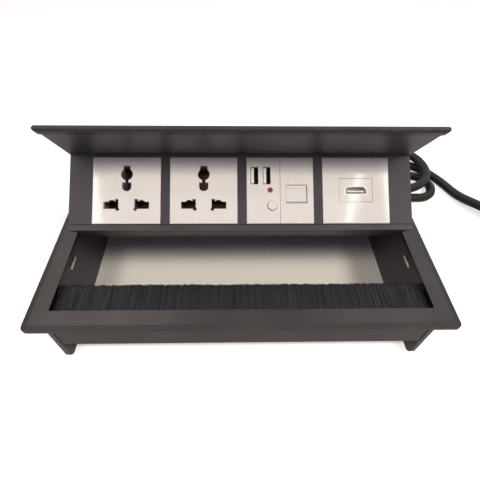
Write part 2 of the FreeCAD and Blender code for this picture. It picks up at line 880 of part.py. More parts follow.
def face_shell(centre_x, x0, x1):
    # Face of a module: a rim that overlaps the panel and a hollow collar behind it.
    half = module_size / 2
    inset = (module_size / 2 - collar_half)
    rim = on_face(centre_x, x0, x1, -half, half, 0, module_proud)
    front_edges = []
    for edge in rim.Edges:
        if abs(edge.CenterOfMass.y - module_front) < 0.01:
            front_edges.append(edge)
    rim = rim.makeFillet(module_edge_radius, front_edges)
    left = x0 + inset if x0 < -half + 1 else x0
    right = x1 - inset if x1 > half - 1 else x1
    collar = on_face(centre_x, left, right, -collar_half, collar_half, module_proud, module_collar_depth)
    wall = module_collar_wall
    hollow = on_face(centre_x, left + wall, right - wall, -collar_half + wall, collar_half - wall,
                     module_front_wall, module_collar_depth)
    shell = rim.fuse(collar).cut(hollow)
    middle = (left + right) / 2
    behind_panel = module_proud + panel_thickness + 0.1
    for side in (-1, 1):
        edge_height = side * collar_half
        outline = [
            (module_front + behind_panel, module_middle + edge_height),
            (module_front + behind_panel, module_middle + edge_height + side * snap_height),
            (module_front + behind_panel + 2.5, module_middle + edge_height),
        ]
        shell = shell.fuse(prism_along_x(outline, centre_x + middle - snap_width / 2,
                                         centre_x + middle + snap_width / 2))
    return shell


def line_hole(centre_x, side, depth):
    # One of the two current-carrying holes: cross slot, round part, upright blade slot and slanted leg.
    outer = side * line_slot_outer
    inner = side * line_slot_inner
    hole = on_face(centre_x, outer, inner, line_slot_bottom, line_slot_top, 0, depth)
    round_x = centre_x + side * line_round_middle
    round_start = Vector(round_x, module_front, module_middle + line_round_height)
    hole = hole.fuse(rod(round_start, axis_y, line_round_radius, depth))
    blade_outer = side * (line_slot_inner + line_blade_width)
    hole = hole.fuse(on_face(centre_x, blade_outer, inner, line_slot_bottom, line_blade_top, 0, depth))
    leg = block(-line_blade_width / 2, line_blade_width / 2, 0, depth, -line_leg_length, 0)
    leg.rotate(Vector(0, 0, 0), axis_y, side * line_leg_angle)
    leg_x = centre_x + side * (line_slot_inner + line_blade_width / 2)
    leg.translate(Vector(leg_x, module_front, module_middle + line_slot_bottom + line_leg_overlap))
    return hole.fuse(leg)


def earth_hole(centre_x, depth):
    half_slot = earth_slot_width / 2
    hole = on_face(centre_x, -half_slot, half_slot, earth_round_height, earth_slot_top, 0, depth)
    start = Vector(centre_x, module_front, module_middle + earth_round_height)
    hole = hole.fuse(rod(start, axis_y, earth_round_radius, depth))
    half_neck = earth_neck_width / 2
    hole = hole.fuse(on_face(centre_x, -half_neck, half_neck, 0, earth_round_height, 0, depth))
    half_lower = earth_lower_width / 2
    lower = on_face(centre_x, -half_lower, half_lower, earth_lower_bottom, earth_lower_top, 0, depth)
    rounded = []
    for edge in lower.Edges:
        along_y = abs(edge.tangentAt(edge.FirstParameter).y) > 0.99
        if along_y and edge.CenterOfMass.z < module_middle + 1:
            rounded.append(edge)
    return hole.fuse(lower.makeFillet(half_lower - 0.3, rounded))


def contact_pockets():
    # x from, x to, low, high of the three contact pockets behind the holes.
    line_low = line_slot_bottom - 2.5
    line_high = line_blade_top + 1.0
    inner = line_slot_inner - 1.5
    outer = line_slot_outer + 1.0
    earth = earth_round_radius + 0.7
    return [
        (-outer, -inner, line_low, line_high), (inner, outer, line_low, line_high),
        (-earth, earth, earth_lower_bottom - 0.5, earth_slot_top + 0.7),
    ]


def make_socket(name, centre_x):
    face = face_shell(centre_x, -module_size / 2, module_size / 2)
    face = face.cut(line_hole(centre_x, -1, module_front_wall))
    face = face.cut(line_hole(centre_x, 1, module_front_wall))
    face = face.cut(earth_hole(centre_x, module_front_wall))
    write_unit(name + "_face", face.removeSplitter())
    front = module_front_wall + module_fit
    back = module_front_wall + module_base_depth
    base = on_face(centre_x, -base_half, base_half, -base_half, base_half, front, back)
    contacts = []
    for x0, x1, low, high in contact_pockets():
        base = base.cut(on_face(centre_x, x0, x1, low, high, front, front + contact_pocket_depth))
        contacts.append(contact(centre_x, x0, x1, low, high, front))
    write_unit(name + "_base", base)
    write_unit(name + "_contacts", *contacts)


def contact(centre_x, x0, x1, low, high, front):
    # Spring contact: two leaves that lie along the pocket's sides, joined at the pocket's bottom.
    t = contact_thickness
    start = front + 5.0
    end = front + contact_pocket_depth
    clip = on_face(centre_x, x0 + 0.2, x1 - 0.2, low + 0.3, low + 0.3 + t, start, end)
    clip = clip.fuse(on_face(centre_x, x0 + 0.2, x1 - 0.2, high - 0.3 - t, high - 0.3, start, end))
    clip = clip.fuse(on_face(centre_x, x0 + 0.2, x1 - 0.2, low + 0.3, high - 0.3, end - t, end))
    return clip.removeSplitter()


def make_usb_module(centre_x):
    half = module_size / 2
    split = -module_fit / 2
    face = face_shell(centre_x, -half, split)
    port_low = usb_port_height_above - usb_port_height / 2
    port_high = usb_port_height_above + usb_port_height / 2
    shells = []
    shell_rooms = []
    tongues = []
    board_front = module_front_wall + usb_shell_length + 0.2
    for middle in usb_port_middles:
        left = middle - usb_port_width / 2
        right = middle + usb_port_width / 2
        face = face.cut(on_face(centre_x, left, right, port_low, port_high, 0, module_front_wall))
        wall = usb_shell_wall
        outside = on_face(centre_x, left - wall, right + wall, port_low - wall, port_high + wall,
                          module_front_wall + 0.05, module_front_wall + usb_shell_length)
        inside = on_face(centre_x, left, right, port_low, port_high,
                         module_front_wall, module_front_wall + usb_shell_length - wall)
        shells.append(outside.cut(inside))
        space = wall + hole_clearance
        shell_back = module_front_wall + usb_shell_length
        shell_rooms.append(on_face(centre_x, left - space, right + space, port_low - space,
                                   port_high + space, module_front_wall, shell_back))
        tongue_x = middle + usb_tongue_offset
        tongue_half = usb_tongue_height / 2
        tongues.append(on_face(
            centre_x, tongue_x - usb_tongue_width / 2, tongue_x + usb_tongue_width / 2,
            usb_port_height_above - tongue_half, usb_port_height_above + tongue_half,
            0.6, module_front_wall + usb_shell_length - wall,
        ))
    led_x, led_z = led_place
    led_start = Vector(centre_x + led_x, module_front, module_middle + led_z)
    face = face.cut(rod(led_start, axis_y, led_radius + hole_clearance, module_front_wall))
    button_x, button_z = button_place
    button_start = Vector(centre_x + button_x, module_front, module_middle + button_z)
    face = face.cut(rod(button_start, axis_y, button_radius + button_gap, module_front_wall))
    for shell_room in shell_rooms:
        face = face.cut(shell_room)
    write_unit("usb_face", face.removeSplitter())
    write_unit("usb_port_shells", *shells)
    write_unit("usb_port_tongues", *tongues)
    lens = rod(led_start, axis_y, led_radius, board_front)
    write_unit("usb_led", lens)
    make_button(button_start, board_front)
    right = split - module_collar_wall - module_fit
    step = board_front + board_thickness
    back = module_front_wall + module_base_depth
    inset = usb_case_wall + module_fit
    board = on_face(centre_x, -base_half + inset, right - inset, -base_half + inset,
                    base_half - inset, board_front, step)
    write_unit("usb_board", board)
    case = on_face(centre_x, -base_half, right, -base_half, base_half,
                   module_front_wall + module_fit, back)
    wall = usb_case_wall
    room = on_face(centre_x, -base_half + wall, right - wall, -base_half + wall, base_half - wall,
                   module_front_wall, step)
    thick = wall + board_ledge
    behind = on_face(centre_x, -base_half + thick, right - thick, -base_half + thick, base_half - thick,
                     step, back - wall)
    button_room = rod(button_start, axis_y, button_radius + button_flange + 2 * module_fit,
                      module_front_wall + button_flange_thickness + button_travel + 3 * module_fit)
    case = case.cut(room).cut(behind).cut(button_room)
    for shell_room in shell_rooms:
        case = case.cut(shell_room)
    write_unit("usb_base", case)


def make_button(start, board_front):
    front = start.y - button_proud
    flange_y = wall_back + hole_clearance
    cap_length = flange_y + button_flange_thickness - front
    cap = rod(Vector(start.x, front, start.z), axis_y, button_radius, cap_length)
    rim_edges = []
    for edge in cap.Edges:
        if abs(edge.CenterOfMass.y - front) < 0.01:
            rim_edges.append(edge)
    cap = cap.makeFillet(button_edge_radius, rim_edges)
    stem_end = start.y + board_front - button_travel - 2 * module_fit
    stem = rod(Vector(start.x, flange_y, start.z), axis_y, button_stem_radius, stem_end - flange_y)
    flange = rod(Vector(start.x, flange_y, start.z), axis_y, button_radius + button_flange,
                 button_flange_thickness)
    write_unit("usb_button", cap.fuse(flange).fuse(stem).removeSplitter())


def make_data_module(centre_x):
    half = module_size / 2
    split = module_fit / 2
    face = face_shell(centre_x, split, half)
    x0, x1, low, high = shutter_window
    face = face.cut(on_face(centre_x, x0, x1, low, high, 0, module_front_wall))
    lap = shutter_overlap + shutter_fit
    track = on_face(centre_x, x0 - lap, x1 + lap, low - lap - shutter_travel, high + lap,
                    shutter_recess, module_front_wall)
    face = face.cut(track)
    write_unit("data_face", face.removeSplitter())
    lap = shutter_overlap
    shutter_front = shutter_recess + module_fit
    shutter = on_face(centre_x, x0 - lap, x1 + lap, low - lap, high + lap,
                      shutter_front, shutter_front + shutter_thickness)
    grip_top = high - shutter_grip_drop
    grip_low = grip_top - shutter_grip_height
    grip = on_face(centre_x, x0 + shutter_grip_drop, x1 - shutter_grip_drop, grip_low, grip_top,
                   shutter_recess - shutter_grip_proud, shutter_recess + shutter_thickness)
    write_unit("data_shutter", shutter.fuse(grip).removeSplitter())
    jack_x = (x0 + x1) / 2
    jack_z = high - jack_from_window_top - jack_height / 2
    front = module_front_wall + module_fit
    half_w = jack_width / 2
    half_h = jack_height / 2
    wall = jack_wall
    out = on_face(centre_x, jack_x - half_w - wall, jack_x + half_w + wall, jack_z - half_h - wall,
                  jack_z + half_h + wall, front, front + jack_depth + wall)
    left = split + module_collar_wall + module_fit
    back_plate = on_face(centre_x, left, base_half, -base_half, base_half, front, front + wall)
    cavity = on_face(centre_x, jack_x - half_w, jack_x + half_w, jack_z - half_h, jack_z + half_h,
                     front, front + jack_depth)
    write_unit("data_jack", out.fuse(back_plate).cut(cavity).removeSplitter())
    wires = []
    top = jack_z + half_h
    for index in range(jack_contact_count):
        wire_x = jack_x + (index - (jack_contact_count - 1) / 2) * jack_contact_pitch
        wires.append(on_face(centre_x, wire_x - jack_contact_width / 2, wire_x + jack_contact_width / 2,
                             top - jack_contact_height, top, front + 3.0, front + jack_depth - 2.0))
    write_unit("jack_contacts", *wires)


def hdmi_outline(half_width, half_height, taper, centre_x):
    # Wide side down.
    left = centre_x - half_width
    right = centre_x + half_width
    low = module_middle - half_height
    high = module_middle + half_height
    return [
        (left, low), (right, low), (right, high - taper), (right - taper, high), (left + taper, high),
        (left, high - taper),
    ]


def make_hdmi_module(centre_x):
    half = module_size / 2
    face = face_shell(centre_x, -half, half)
    half_w = insert_width / 2
    half_h = insert_height / 2
    face = face.cut(on_face(centre_x, -half_w, half_w, -half_h, half_h, 0, module_front_wall))
    write_unit("hdmi_face", face.removeSplitter())
    plate = on_face(centre_x, -half_w + insert_gap, half_w - insert_gap, -half_h + insert_gap,
                    half_h - insert_gap, insert_recess, module_front_wall)
    wide = half_w + insert_flange
    tall = half_h + insert_flange
    behind = module_front_wall + insert_flange
    flange = on_face(centre_x, -wide, wide, -tall, tall, module_front_wall + hole_clearance, behind)
    inner_w = half_w - 2 * insert_gap
    inner_h = half_h - 2 * insert_gap
    bridge = on_face(centre_x, -inner_w, inner_w, -inner_h, inner_h, insert_recess, behind)
    insert = plate.fuse(flange).fuse(bridge)
    start = module_front
    fit = hole_clearance
    hole = prism_along_y(hdmi_outline(hdmi_width / 2 + fit, hdmi_height / 2 + fit, hdmi_taper, centre_x),
                         start, start + 3 * module_front_wall)
    write_unit("hdmi_insert", insert.cut(hole).removeSplitter())
    shell_front = start + insert_recess + hdmi_shell_setback
    shell = prism_along_y(hdmi_outline(hdmi_width / 2, hdmi_height / 2, hdmi_taper, centre_x),
                          shell_front, shell_front + hdmi_shell_depth)
    w = hdmi_shell_wall
    bore = prism_along_y(hdmi_outline(hdmi_width / 2 - w, hdmi_height / 2 - w, hdmi_taper, centre_x),
                         shell_front, shell_front + hdmi_shell_depth - w)
    write_unit("hdmi_shell", shell.cut(bore))
    tongue_back = hdmi_shell_depth - w + insert_recess + hdmi_shell_setback
    tongue = on_face(centre_x, -hdmi_tongue_width / 2, hdmi_tongue_width / 2, -hdmi_tongue_height,
                     0, insert_recess + hdmi_tongue_setback, tongue_back)
    write_unit("hdmi_tongue", tongue)
    wide = hdmi_coupler_width / 2
    tall = hdmi_coupler_height / 2
    coupler = on_face(centre_x, -wide, wide, -tall, tall, behind, module_front_wall + module_base_depth)
    room = prism_along_y(hdmi_outline(hdmi_width / 2 + fit, hdmi_height / 2 + fit, hdmi_taper, centre_x),
                         start, shell_front + hdmi_shell_depth + fit)
    write_unit("hdmi_coupler", coupler.cut(room))


# Wiring inside the flip unit

def make_wiring():
    lead_end = cover_back - lead_inside_length
    front = base_back + hole_clearance
    half_x = terminal_block_length / 2
    low = -grommet_drop - terminal_block_height / 2
    high = -grommet_drop + terminal_block_height / 2
    body = block(gland_x - half_x, gland_x + half_x, front, lead_end - hole_clearance, low, high)
    screws = []
    for index in (-1, 0, 1):
        screw_x = gland_x + terminal_pitch * index
        start = Vector(screw_x, (front + lead_end) / 2, high - terminal_well_depth)
        well = rod(start, axis_z, terminal_screw_radius + 2 * module_fit, terminal_well_depth)
        body = body.cut(well)
        screws.append(rod(start, axis_z, terminal_screw_radius, terminal_screw_height))
    write_unit("terminal_block", body)
    write_unit("terminal_screws", *screws)
    wires = []
    first = module_places()[0]
    last = module_places()[2] - base_half
    for index in range(3):
        height = high + 2 * wire_radius + wire_pitch * index
        start = Vector(first, base_back + hole_clearance + wire_radius, height)
        wires.append(rod(start, axis_x, wire_radius, last - first + 2 * wire_pitch))
    write_unit("bus_wires", *wires)


def make_grommet():
    y0 = cover_back - cover_sheet - grommet_flange
    length = cover_sheet + 2 * grommet_flange + 2 * hole_clearance
    start = Vector(gland_x, y0 - hole_clearance, -grommet_drop)
    sleeve = rod(start, axis_y, grommet_groove_radius, length)
    inner = rod(start, axis_y, grommet_radius, grommet_flange)
    outer_start = Vector(gland_x, cover_back + hole_clearance, -grommet_drop)
    outer = rod(outer_start, axis_y, grommet_radius, grommet_flange)
    grommet = sleeve.fuse(inner).fuse(outer).cut(rod(start, axis_y, cord_bore, length))
    write_unit("lead_grommet", grommet.removeSplitter())


# Cord

def rounded_route(points):
    # Straight runs joined by tangent arcs, each as large as its two runs allow.
    edges = []
    previous = points[0]
    smallest = None
    for before, corner, after in zip(points, points[1:], points[2:]):
        towards = (before - corner)
        away = (after - corner)
        turn = math.pi - towards.getAngle(away)
        cut = 0.45 * min(towards.Length, away.Length)
        radius = cut / math.tan(turn / 2)
        smallest = radius if smallest is None else min(smallest, radius)
        start = corner + towards.normalize() * cut
        end = corner + away.normalize() * cut
        bisector = (towards + away).normalize()
        centre_distance = math.hypot(radius, cut)
        middle = corner + bisector * (centre_distance - radius)
        edges.append(Part.LineSegment(previous, start).toShape())
        edges.append(Part.Arc(start, middle, end).toShape())
        previous = end
    edges.append(Part.LineSegment(previous, points[-1]).toShape())
    return Part.Wire(edges), smallest


def tube(path, start, direction, radius):
    circle = Part.Wire(Part.Circle(start, direction, radius).toShape())
    return path.makePipeShell([circle], True, False)


def cord_stretch(name, points):
    path, smallest = rounded_route(points)
    solid = tube(path, points[0], points[1] - points[0], cord_radius)
    section = math.pi * cord_radius ** 2
    print(name, "length", round(path.Length, 1), "least radius", round(smallest, 1),
          "volume ratio", round(solid.Volume / (section * path.Length), 4))
    write(name, solid)
    return path.Length


def biarc(start, start_way, end, end_way):
    # Two arcs that leave start and reach end along the given unit directions.
    across = end - start
    ways = start_way + end_way
    spread = 2 * (1 - start_way.dot(end_way))
    along = across.dot(ways)
    if spread < 1e-9:
        reach = across.dot(across) / (4 * across.dot(end_way))
    else:
        reach = (-along + math.sqrt(along * along + spread * across.dot(across))) / spread
    joint = (start + start_way * reach + end - end_way * reach) * 0.5
    way = (end - end_way * reach) - (start + start_way * reach)
    way.normalize()
    return [arc_from(start, start_way, joint), arc_from(joint, way, end)]


def arc_from(start, way, end):
    # Arc that leaves start along way and ends at end.
    chord = end - start
    across = chord - way * chord.dot(way)
    if across.Length < 1e-7:
        return Part.LineSegment(start, end).toShape()
    across.normalize()
    radius = chord.dot(chord) / (2 * chord.dot(across))
    centre = start + across * radius
    outward = (start + chord * 0.5) - centre
    if outward.Length < 1e-9:
        outward = way
    outward.normalize()
    if chord.dot(way) < 0:
        outward = outward * -1
    return Part.Arc(start, centre + outward * radius, end).toShape()


def wound_tube(name, stations):
    # Stations are (point, unit direction) pairs, a quarter turn or less apart.
    edges = []
    for (start, start_way), (end, end_way) in zip(stations, stations[1:]):
        edges.extend(biarc(start, start_way, end, end_way))
    path = Part.Wire(edges)
    solid = tube(path, stations[0][0], stations[0][1], cord_radius)
    samples = path.discretize(Distance=3.0)
    least = None
    skip = int(3 * cord_diameter / 3.0)
    for index, point in enumerate(samples):
        for other in samples[index + skip:]:
            gap = point.distanceToPoint(other) - cord_diameter
            least = gap if least is None else min(least, gap)
    section = math.pi * cord_radius ** 2
    print(name, "length", round(path.Length, 1), "least gap to itself", round(least, 2),
          "volume ratio", round(solid.Volume / (section * path.Length), 4))
    write(name, solid)
    return path.Length


def coil_height(layer):
    return cord_radius + floor_gap + layer * (cord_diameter + loop_layer_gap)


def coil_stations():
    # Clockwise from the far side: spirals in on the floor, climbs, and spirals out on top.
    pitch = cord_diameter + coil_gap
    inner = coil_outer_radius - coil_turns_per_layer * pitch
    steps = 8
    total = 2 * coil_turns_per_layer * steps
    turning = total // 2
    stations = []
    for index in range(total + 1):
        angle = math.radians(90 - 360 * index / steps)
        inward = abs(index - turning) / steps
        radius = inner + pitch * inward
        climb = min(max((index - turning + steps / 4) / (steps / 2), 0), 1)
        smooth = climb * climb * (3 - 2 * climb)
        height = coil_height(0) + smooth * (coil_height(1) - coil_height(0))
        x = coil_centre[0] + radius * math.cos(angle)
        y = coil_centre[1] + radius * math.sin(angle)
        point = Vector(x, y, height)
        sign = 1 if index < turning else -1
        growth = 0 if index == turning else -sign * pitch / (2 * math.pi)
        rise = 0.0
        if 0 < climb < 1:
            arc_step = 2 * math.pi * radius / steps
            rise = 6 * climb * (1 - climb) * (coil_height(1) - coil_height(0)) / (steps / 2) / arc_step
        way = Vector(
            math.sin(angle) * radius + growth * math.cos(angle),
            -math.cos(angle) * radius + growth * math.sin(angle),
            rise * radius,
        )
        if index in (0, total):
            way = Vector(1, 0, 0)
        way.normalize()
        stations.append((point, way))
    return stations


# Loose loops beside the box: right and left half turns of different size, at real places on the floor
loop_turns = [
    # middle x, from y, to y, side, layer at its start, layer at its end
    (160.7, 158.0, 90.0, 1, 1, 1),
    (144.0, 90.0, 122.1, -1, 1, 0),
    (180.4, 122.1, 87.5, 1, 0, 0),
    (139.0, 87.5, 148.5, -1, 0, 0),
]


def loop_stations():
    stations = []
    for middle_x, from_y, to_y, side, start_layer, end_layer in loop_turns:
        radius = abs(to_y - from_y) / 2
        middle_y = (from_y + to_y) / 2
        first_angle = 90 if side > 0 else -90
        for step in range(5):
            angle = math.radians(first_angle - 45 * step)
            share = step / 4
            smooth = share * share * (3 - 2 * share)
            low = coil_height(start_layer)
            height = low + smooth * (coil_height(end_layer) - low)
            x = middle_x + radius * math.cos(angle)
            y = middle_y + radius * math.sin(angle)
            point = Vector(x, y, height)
            rise = 6 * share * (1 - share) * (coil_height(end_layer) - low) / (math.pi * radius)
            way = Vector(math.sin(angle), -math.cos(angle), rise)
            way.normalize()
            stations.append((point, way))
    return stations


def make_gland():
    skirt_inner = rear_skirt_face - skirt_thickness
    centre = Vector(gland_x, rear_skirt_face, gland_height)
    flange = hex_bar(centre, gland_hex_radius, gland_hex_length)
    dome_start = Vector(gland_x, rear_skirt_face + gland_hex_length, gland_height)
    dome_radius = gland_hex_radius - gland_dome_inset
    dome = Part.makeCone(dome_radius, gland_dome_tip_radius, gland_dome_length, dome_start, axis_y)
    thread_length = skirt_thickness + gland_nut_length + 2.0
    thread_start = Vector(gland_x, skirt_inner - gland_nut_length - 2.0, gland_height)
    thread = rod(thread_start, axis_y, gland_body_radius, thread_length)
    bore = rod(thread_start, axis_y, cord_bore, thread_length + gland_hex_length + gland_dome_length)
    write("cord_gland", flange.fuse(dome).fuse(thread).cut(bore).removeSplitter())
    nut_start = Vector(gland_x, skirt_inner - gland_nut_length, gland_height)
    nut = hex_bar(nut_start, gland_hex_radius, gland_nut_length)
    nut = nut.cut(rod(nut_start, axis_y, gland_body_radius + hole_clearance, gland_nut_length))
    write("gland_nut", nut)


def make_plug(cord_end, heading):
    # The plug lies on its back, with its cord entry towards the cord and its pins up.
    far = plug_width / 2 - plug_taper
    near = plug_width / 2
    outline = [(-near, 0), (near, 0), (far, plug_length), (-far, plug_length)]
    body = prism_along_z(outline, floor_gap, plug_height)
    body = round_upright_edges(body, plug_corner_radius)
    top_edges = []
    for edge in body.Edges:
        if abs(edge.CenterOfMass.z - plug_height) < 0.01:
            top_edges.append(edge)
    body = body.makeChamfer(plug_top_inset, top_edges)
    centre_y = plug_length * 0.55
    pins = []
    pin_places = [(0, centre_y - pin_rise, earth_pin), (-pin_spread / 2, centre_y + pin_rise, line_pin),
                  (pin_spread / 2, centre_y + pin_rise, line_pin)]
    for middle_x, middle_y, size in pin_places:
        along, across, tall = size
        pins.append(block(middle_x - across / 2, middle_x + across / 2, middle_y - along / 2,
                          middle_y + along / 2, plug_height, plug_height + tall))
    mouth = Vector(0, -relief_length, plug_cord_height)
    thick = cord_radius + relief_wall
    relief = Part.makeCone(cord_radius + relief_lip, thick, relief_length, mouth, axis_y)
    relief = relief.fuse(rod(Vector(0, 0, plug_cord_height), axis_y, thick, relief_wall))
    body = body.fuse(relief)
    body = body.cut(rod(mouth, axis_y, cord_bore, relief_length - relief_wall))
    turn = math.degrees(math.atan2(heading.y, heading.x)) - 90
    placed = []
    for shape in [body] + pins:
        shape.translate(Vector(0, relief_wall, 0))
        shape.rotate(Vector(0, 0, 0), axis_z, turn)
        shape.translate(Vector(cord_end.x, cord_end.y, 0))
        placed.append(shape)
    write("plug_body", placed[0].removeSplitter())
    write("plug_pins", *placed[1:])


def make_cord():
    joint_y = rear_skirt_face + gland_joint_inset
    entry_y, entry_z = opened_point(cover_back, -grommet_drop)
    end_y, end_z = opened_point(cover_back - lead_inside_length, -grommet_drop)
    slope_y = entry_y - end_y
    slope_z = entry_z - end_z
    corner_y = entry_y + (gland_height - entry_z) * slope_y / slope_z
    inner = [
        Vector(gland_x, joint_y, gland_height), Vector(gland_x, corner_y, gland_height),
        Vector(gland_x, end_y, end_z),
    ]
    lengths = [cord_stretch("inner_lead", inner)]
    coil = coil_stations()
    loops = loop_stations()
    low = coil_height(0)
    high = coil_height(1)
    start, end = coil[0][0], coil[-1][0]
    tail = [
        Vector(gland_x, joint_y, gland_height), Vector(gland_x, joint_y + 31, gland_height),
        Vector(gland_x + 4, joint_y + 59.5, 18.0), Vector(gland_x + 20, joint_y + 85.5, low),
        Vector(gland_x + 49.5, start.y - 6.2, low), Vector(start.x - 22, start.y, low), start,
    ]
    lengths.append(cord_stretch("cord_tail", tail))
    lengths.append(wound_tube("cord_coil", coil))
    first_loop = loops[0][0]
    link = [
        end, Vector(65.0, end.y, high), Vector(91.0, 174.0, low + 1), Vector(113.0, 166.0, low + 1),
        Vector(139.0, first_loop.y, high), first_loop,
    ]
    lengths.append(cord_stretch("cord_link", link))
    lengths.append(wound_tube("cord_loops", loops))
    last_loop = loops[-1][0]
    plug_entry = Vector(246.5, 56.0, plug_cord_height)
    lead = [
        last_loop, Vector(161.0, last_loop.y, low), Vector(184.0, 143.0, low), Vector(201.0, 130.0, low),
        Vector(212.5, 111.5, low), Vector(220.0, 90.5, low), Vector(230.0, 71.0, plug_cord_height),
        plug_entry,
    ]
    lengths.append(cord_stretch("cord_lead", lead))
    make_plug(plug_entry, lead[-1] - lead[-2])
    print("cord length from the gland:", round(sum(lengths[1:]), 1))


make_bezel()
make_end_plates()
make_skirts()
make_frame_screws()
make_brush()
make_pivots()
make_clips()
make_lid()
make_lid_trim()
make_face_plate()
make_lower_rail()
make_rear_cover()
make_cheeks()
places = module_places()
make_socket("socket1", places[0])
make_socket("socket2", places[1])
make_usb_module(places[2])
make_data_module(places[2])
make_hdmi_module(places[3])
make_wiring()
make_grommet()
make_gland()
make_cord()
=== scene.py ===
import math
import bpy
import numpy as np
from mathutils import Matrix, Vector


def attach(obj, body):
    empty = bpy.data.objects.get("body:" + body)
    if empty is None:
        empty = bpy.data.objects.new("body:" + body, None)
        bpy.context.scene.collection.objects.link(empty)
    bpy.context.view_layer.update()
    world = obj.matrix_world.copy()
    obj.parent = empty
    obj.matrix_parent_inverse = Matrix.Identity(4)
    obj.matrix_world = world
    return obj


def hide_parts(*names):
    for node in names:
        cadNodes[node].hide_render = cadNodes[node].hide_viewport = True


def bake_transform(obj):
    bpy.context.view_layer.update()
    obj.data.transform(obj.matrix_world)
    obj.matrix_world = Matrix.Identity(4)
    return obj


# Flip-up table socket box, open and standing on its end plates.
# Metres, in the row frame: X to the right, Y to the back, Z up, the origin on the floor.
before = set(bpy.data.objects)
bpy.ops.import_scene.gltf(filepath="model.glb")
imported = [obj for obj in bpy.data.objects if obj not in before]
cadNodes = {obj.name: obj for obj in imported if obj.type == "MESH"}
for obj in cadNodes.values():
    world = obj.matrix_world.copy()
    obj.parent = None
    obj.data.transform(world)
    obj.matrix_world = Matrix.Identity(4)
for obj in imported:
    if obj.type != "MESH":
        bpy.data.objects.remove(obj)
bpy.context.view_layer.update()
print("frame loaded:", len(cadNodes), "nodes")

# Camera, worked out from the photo's straight edges
cameraView = {
    "place": (-0.006664, -0.172870, 0.243383),
    "turn": (40.671, -0.8335, -0.9643),  # degrees about X, Y and Z
    "lens": 26.558,
    "sensor": 36.0,
    "nearest": 0.01,
}


def makeCamera(view):
    data = bpy.data.cameras.new("camera")
    data.lens = view["lens"]
    data.sensor_width = view["sensor"]
    data.clip_start = view["nearest"]
    camera = bpy.data.objects.new("camera", data)
    camera.location = view["place"]
    camera.rotation_euler = [math.radians(angle) for angle in view["turn"]]
    bpy.context.scene.collection.objects.link(camera)
    bpy.context.scene.camera = camera


makeCamera(cameraView)

# Mains cord: every point of its route in order, from the gland to the plug
cordRoute = {
    "diameter": 0.0085,
    "lowHeight": 0.00435,   # centre of a turn on the floor
    "highHeight": 0.01385,  # centre of a turn that lies on another
    "tail": [(-0.060, 0.0724, 0.031), (-0.060, 0.1034, 0.031), (-0.056, 0.1319, 0.018),
             (-0.040, 0.1579, 0.00435), (-0.0105, 0.1753, 0.00435), (0.023, 0.1815, 0.00435)],
    "coil": {"centre": (0.045, 0.1295), "outerRadius": 0.052, "pitch": 0.0091, "turnsPerLayer": 2,
             "pointsPerTurn": 16},
    "link": [(0.065, 0.1815, 0.01385), (0.091, 0.174, 0.00535), (0.113, 0.166, 0.00535),
             (0.139, 0.158, 0.01385)],
    "turns": [
        # middle x, from y, to y, side, height at its start, height at its end
        (0.1607, 0.1580, 0.0900, 1, 0.01385, 0.01385),
        (0.1440, 0.0900, 0.1221, -1, 0.01385, 0.00435),
        (0.1804, 0.1221, 0.0875, 1, 0.00435, 0.00435),
        (0.1390, 0.0875, 0.1485, -1, 0.00435, 0.00435),
    ],
    "pointsPerHalfTurn": 8,
    "lead": [(0.161, 0.1485, 0.00435), (0.184, 0.143, 0.00435), (0.201, 0.130, 0.00435),
             (0.2125, 0.1115, 0.00435), (0.220, 0.0905, 0.00435), (0.230, 0.071, 0.010),
             (0.2465, 0.056, 0.010)],
    "resolution": 8,
    "roundness": 3,
    "length": 1.943,
}


def smoothStep(share):
    # The cubic that rises from 0 to 1 and is level at both ends.
    share = np.clip(share, 0, 1)
    return share * share * (3 - 2 * share)


def coilTurns(route):
    # Clockwise spiral from the far side: the radius falls by a pitch a turn to the middle and grows again,
    # and the height climbs a layer over the half turn about the middle. Each point lies where the tangents
    # of two neighbouring steps meet, so the spline touches the spiral.
    coil = route["coil"]
    count = 2 * coil["turnsPerLayer"] * coil["pointsPerTurn"]
    turns = (np.arange(count) + 0.5) / coil["pointsPerTurn"]
    angle = math.pi / 2 - 2 * math.pi * turns
    inward = coil["turnsPerLayer"] - np.abs(turns - coil["turnsPerLayer"])
    radius = (coil["outerRadius"] - coil["pitch"] * inward) / math.cos(math.pi / coil["pointsPerTurn"])
    climb = smoothStep((turns - coil["turnsPerLayer"]) / 0.5 + 0.5)
    height = route["lowHeight"] + climb * (route["highHeight"] - route["lowHeight"])
    return np.column_stack([coil["centre"][0] + radius * np.cos(angle),
                            coil["centre"][1] + radius * np.sin(angle), height])


def looseTurns(route):
    # Half turns of different size, right and left in order: a circle's arc between two real places.
    count = route["pointsPerHalfTurn"]
    share = (np.arange(count) + 0.5) / count
    found = []
    for middleX, fromY, toY, side, startHeight, endHeight in route["turns"]:
        radius = abs(toY - fromY) / 2 / math.cos(math.pi / (2 * count))
        angle = side * math.pi / 2 - math.pi * share
        height = startHeight + smoothStep(share) * (endHeight - startHeight)
        found.append(np.column_stack([middleX + radius * np.cos(angle),
                                      (fromY + toY) / 2 + radius * np.sin(angle), height]))
    return np.concatenate(found)


def easeCorners(points):
    # Where a run is more than twice as long as the one beside it, a point on the long run as far from
    # their corner as the short run is long, so that the bend doesn't tighten there.
    eased = [points[0]]
    lengths = np.linalg.norm(np.diff(points, axis=0), axis=1)
    for index, length in enumerate(lengths):
        way = (points[index + 1] - points[index]) / length
        if index > 0 and lengths[index - 1] < length / 2:
            eased.append(points[index] + way * lengths[index - 1])
        if index + 1 < len(lengths) and lengths[index + 1] < length / 2:
            eased.append(points[index + 1] - way * lengths[index + 1])
        eased.append(points[index + 1])
    return np.array(eased)


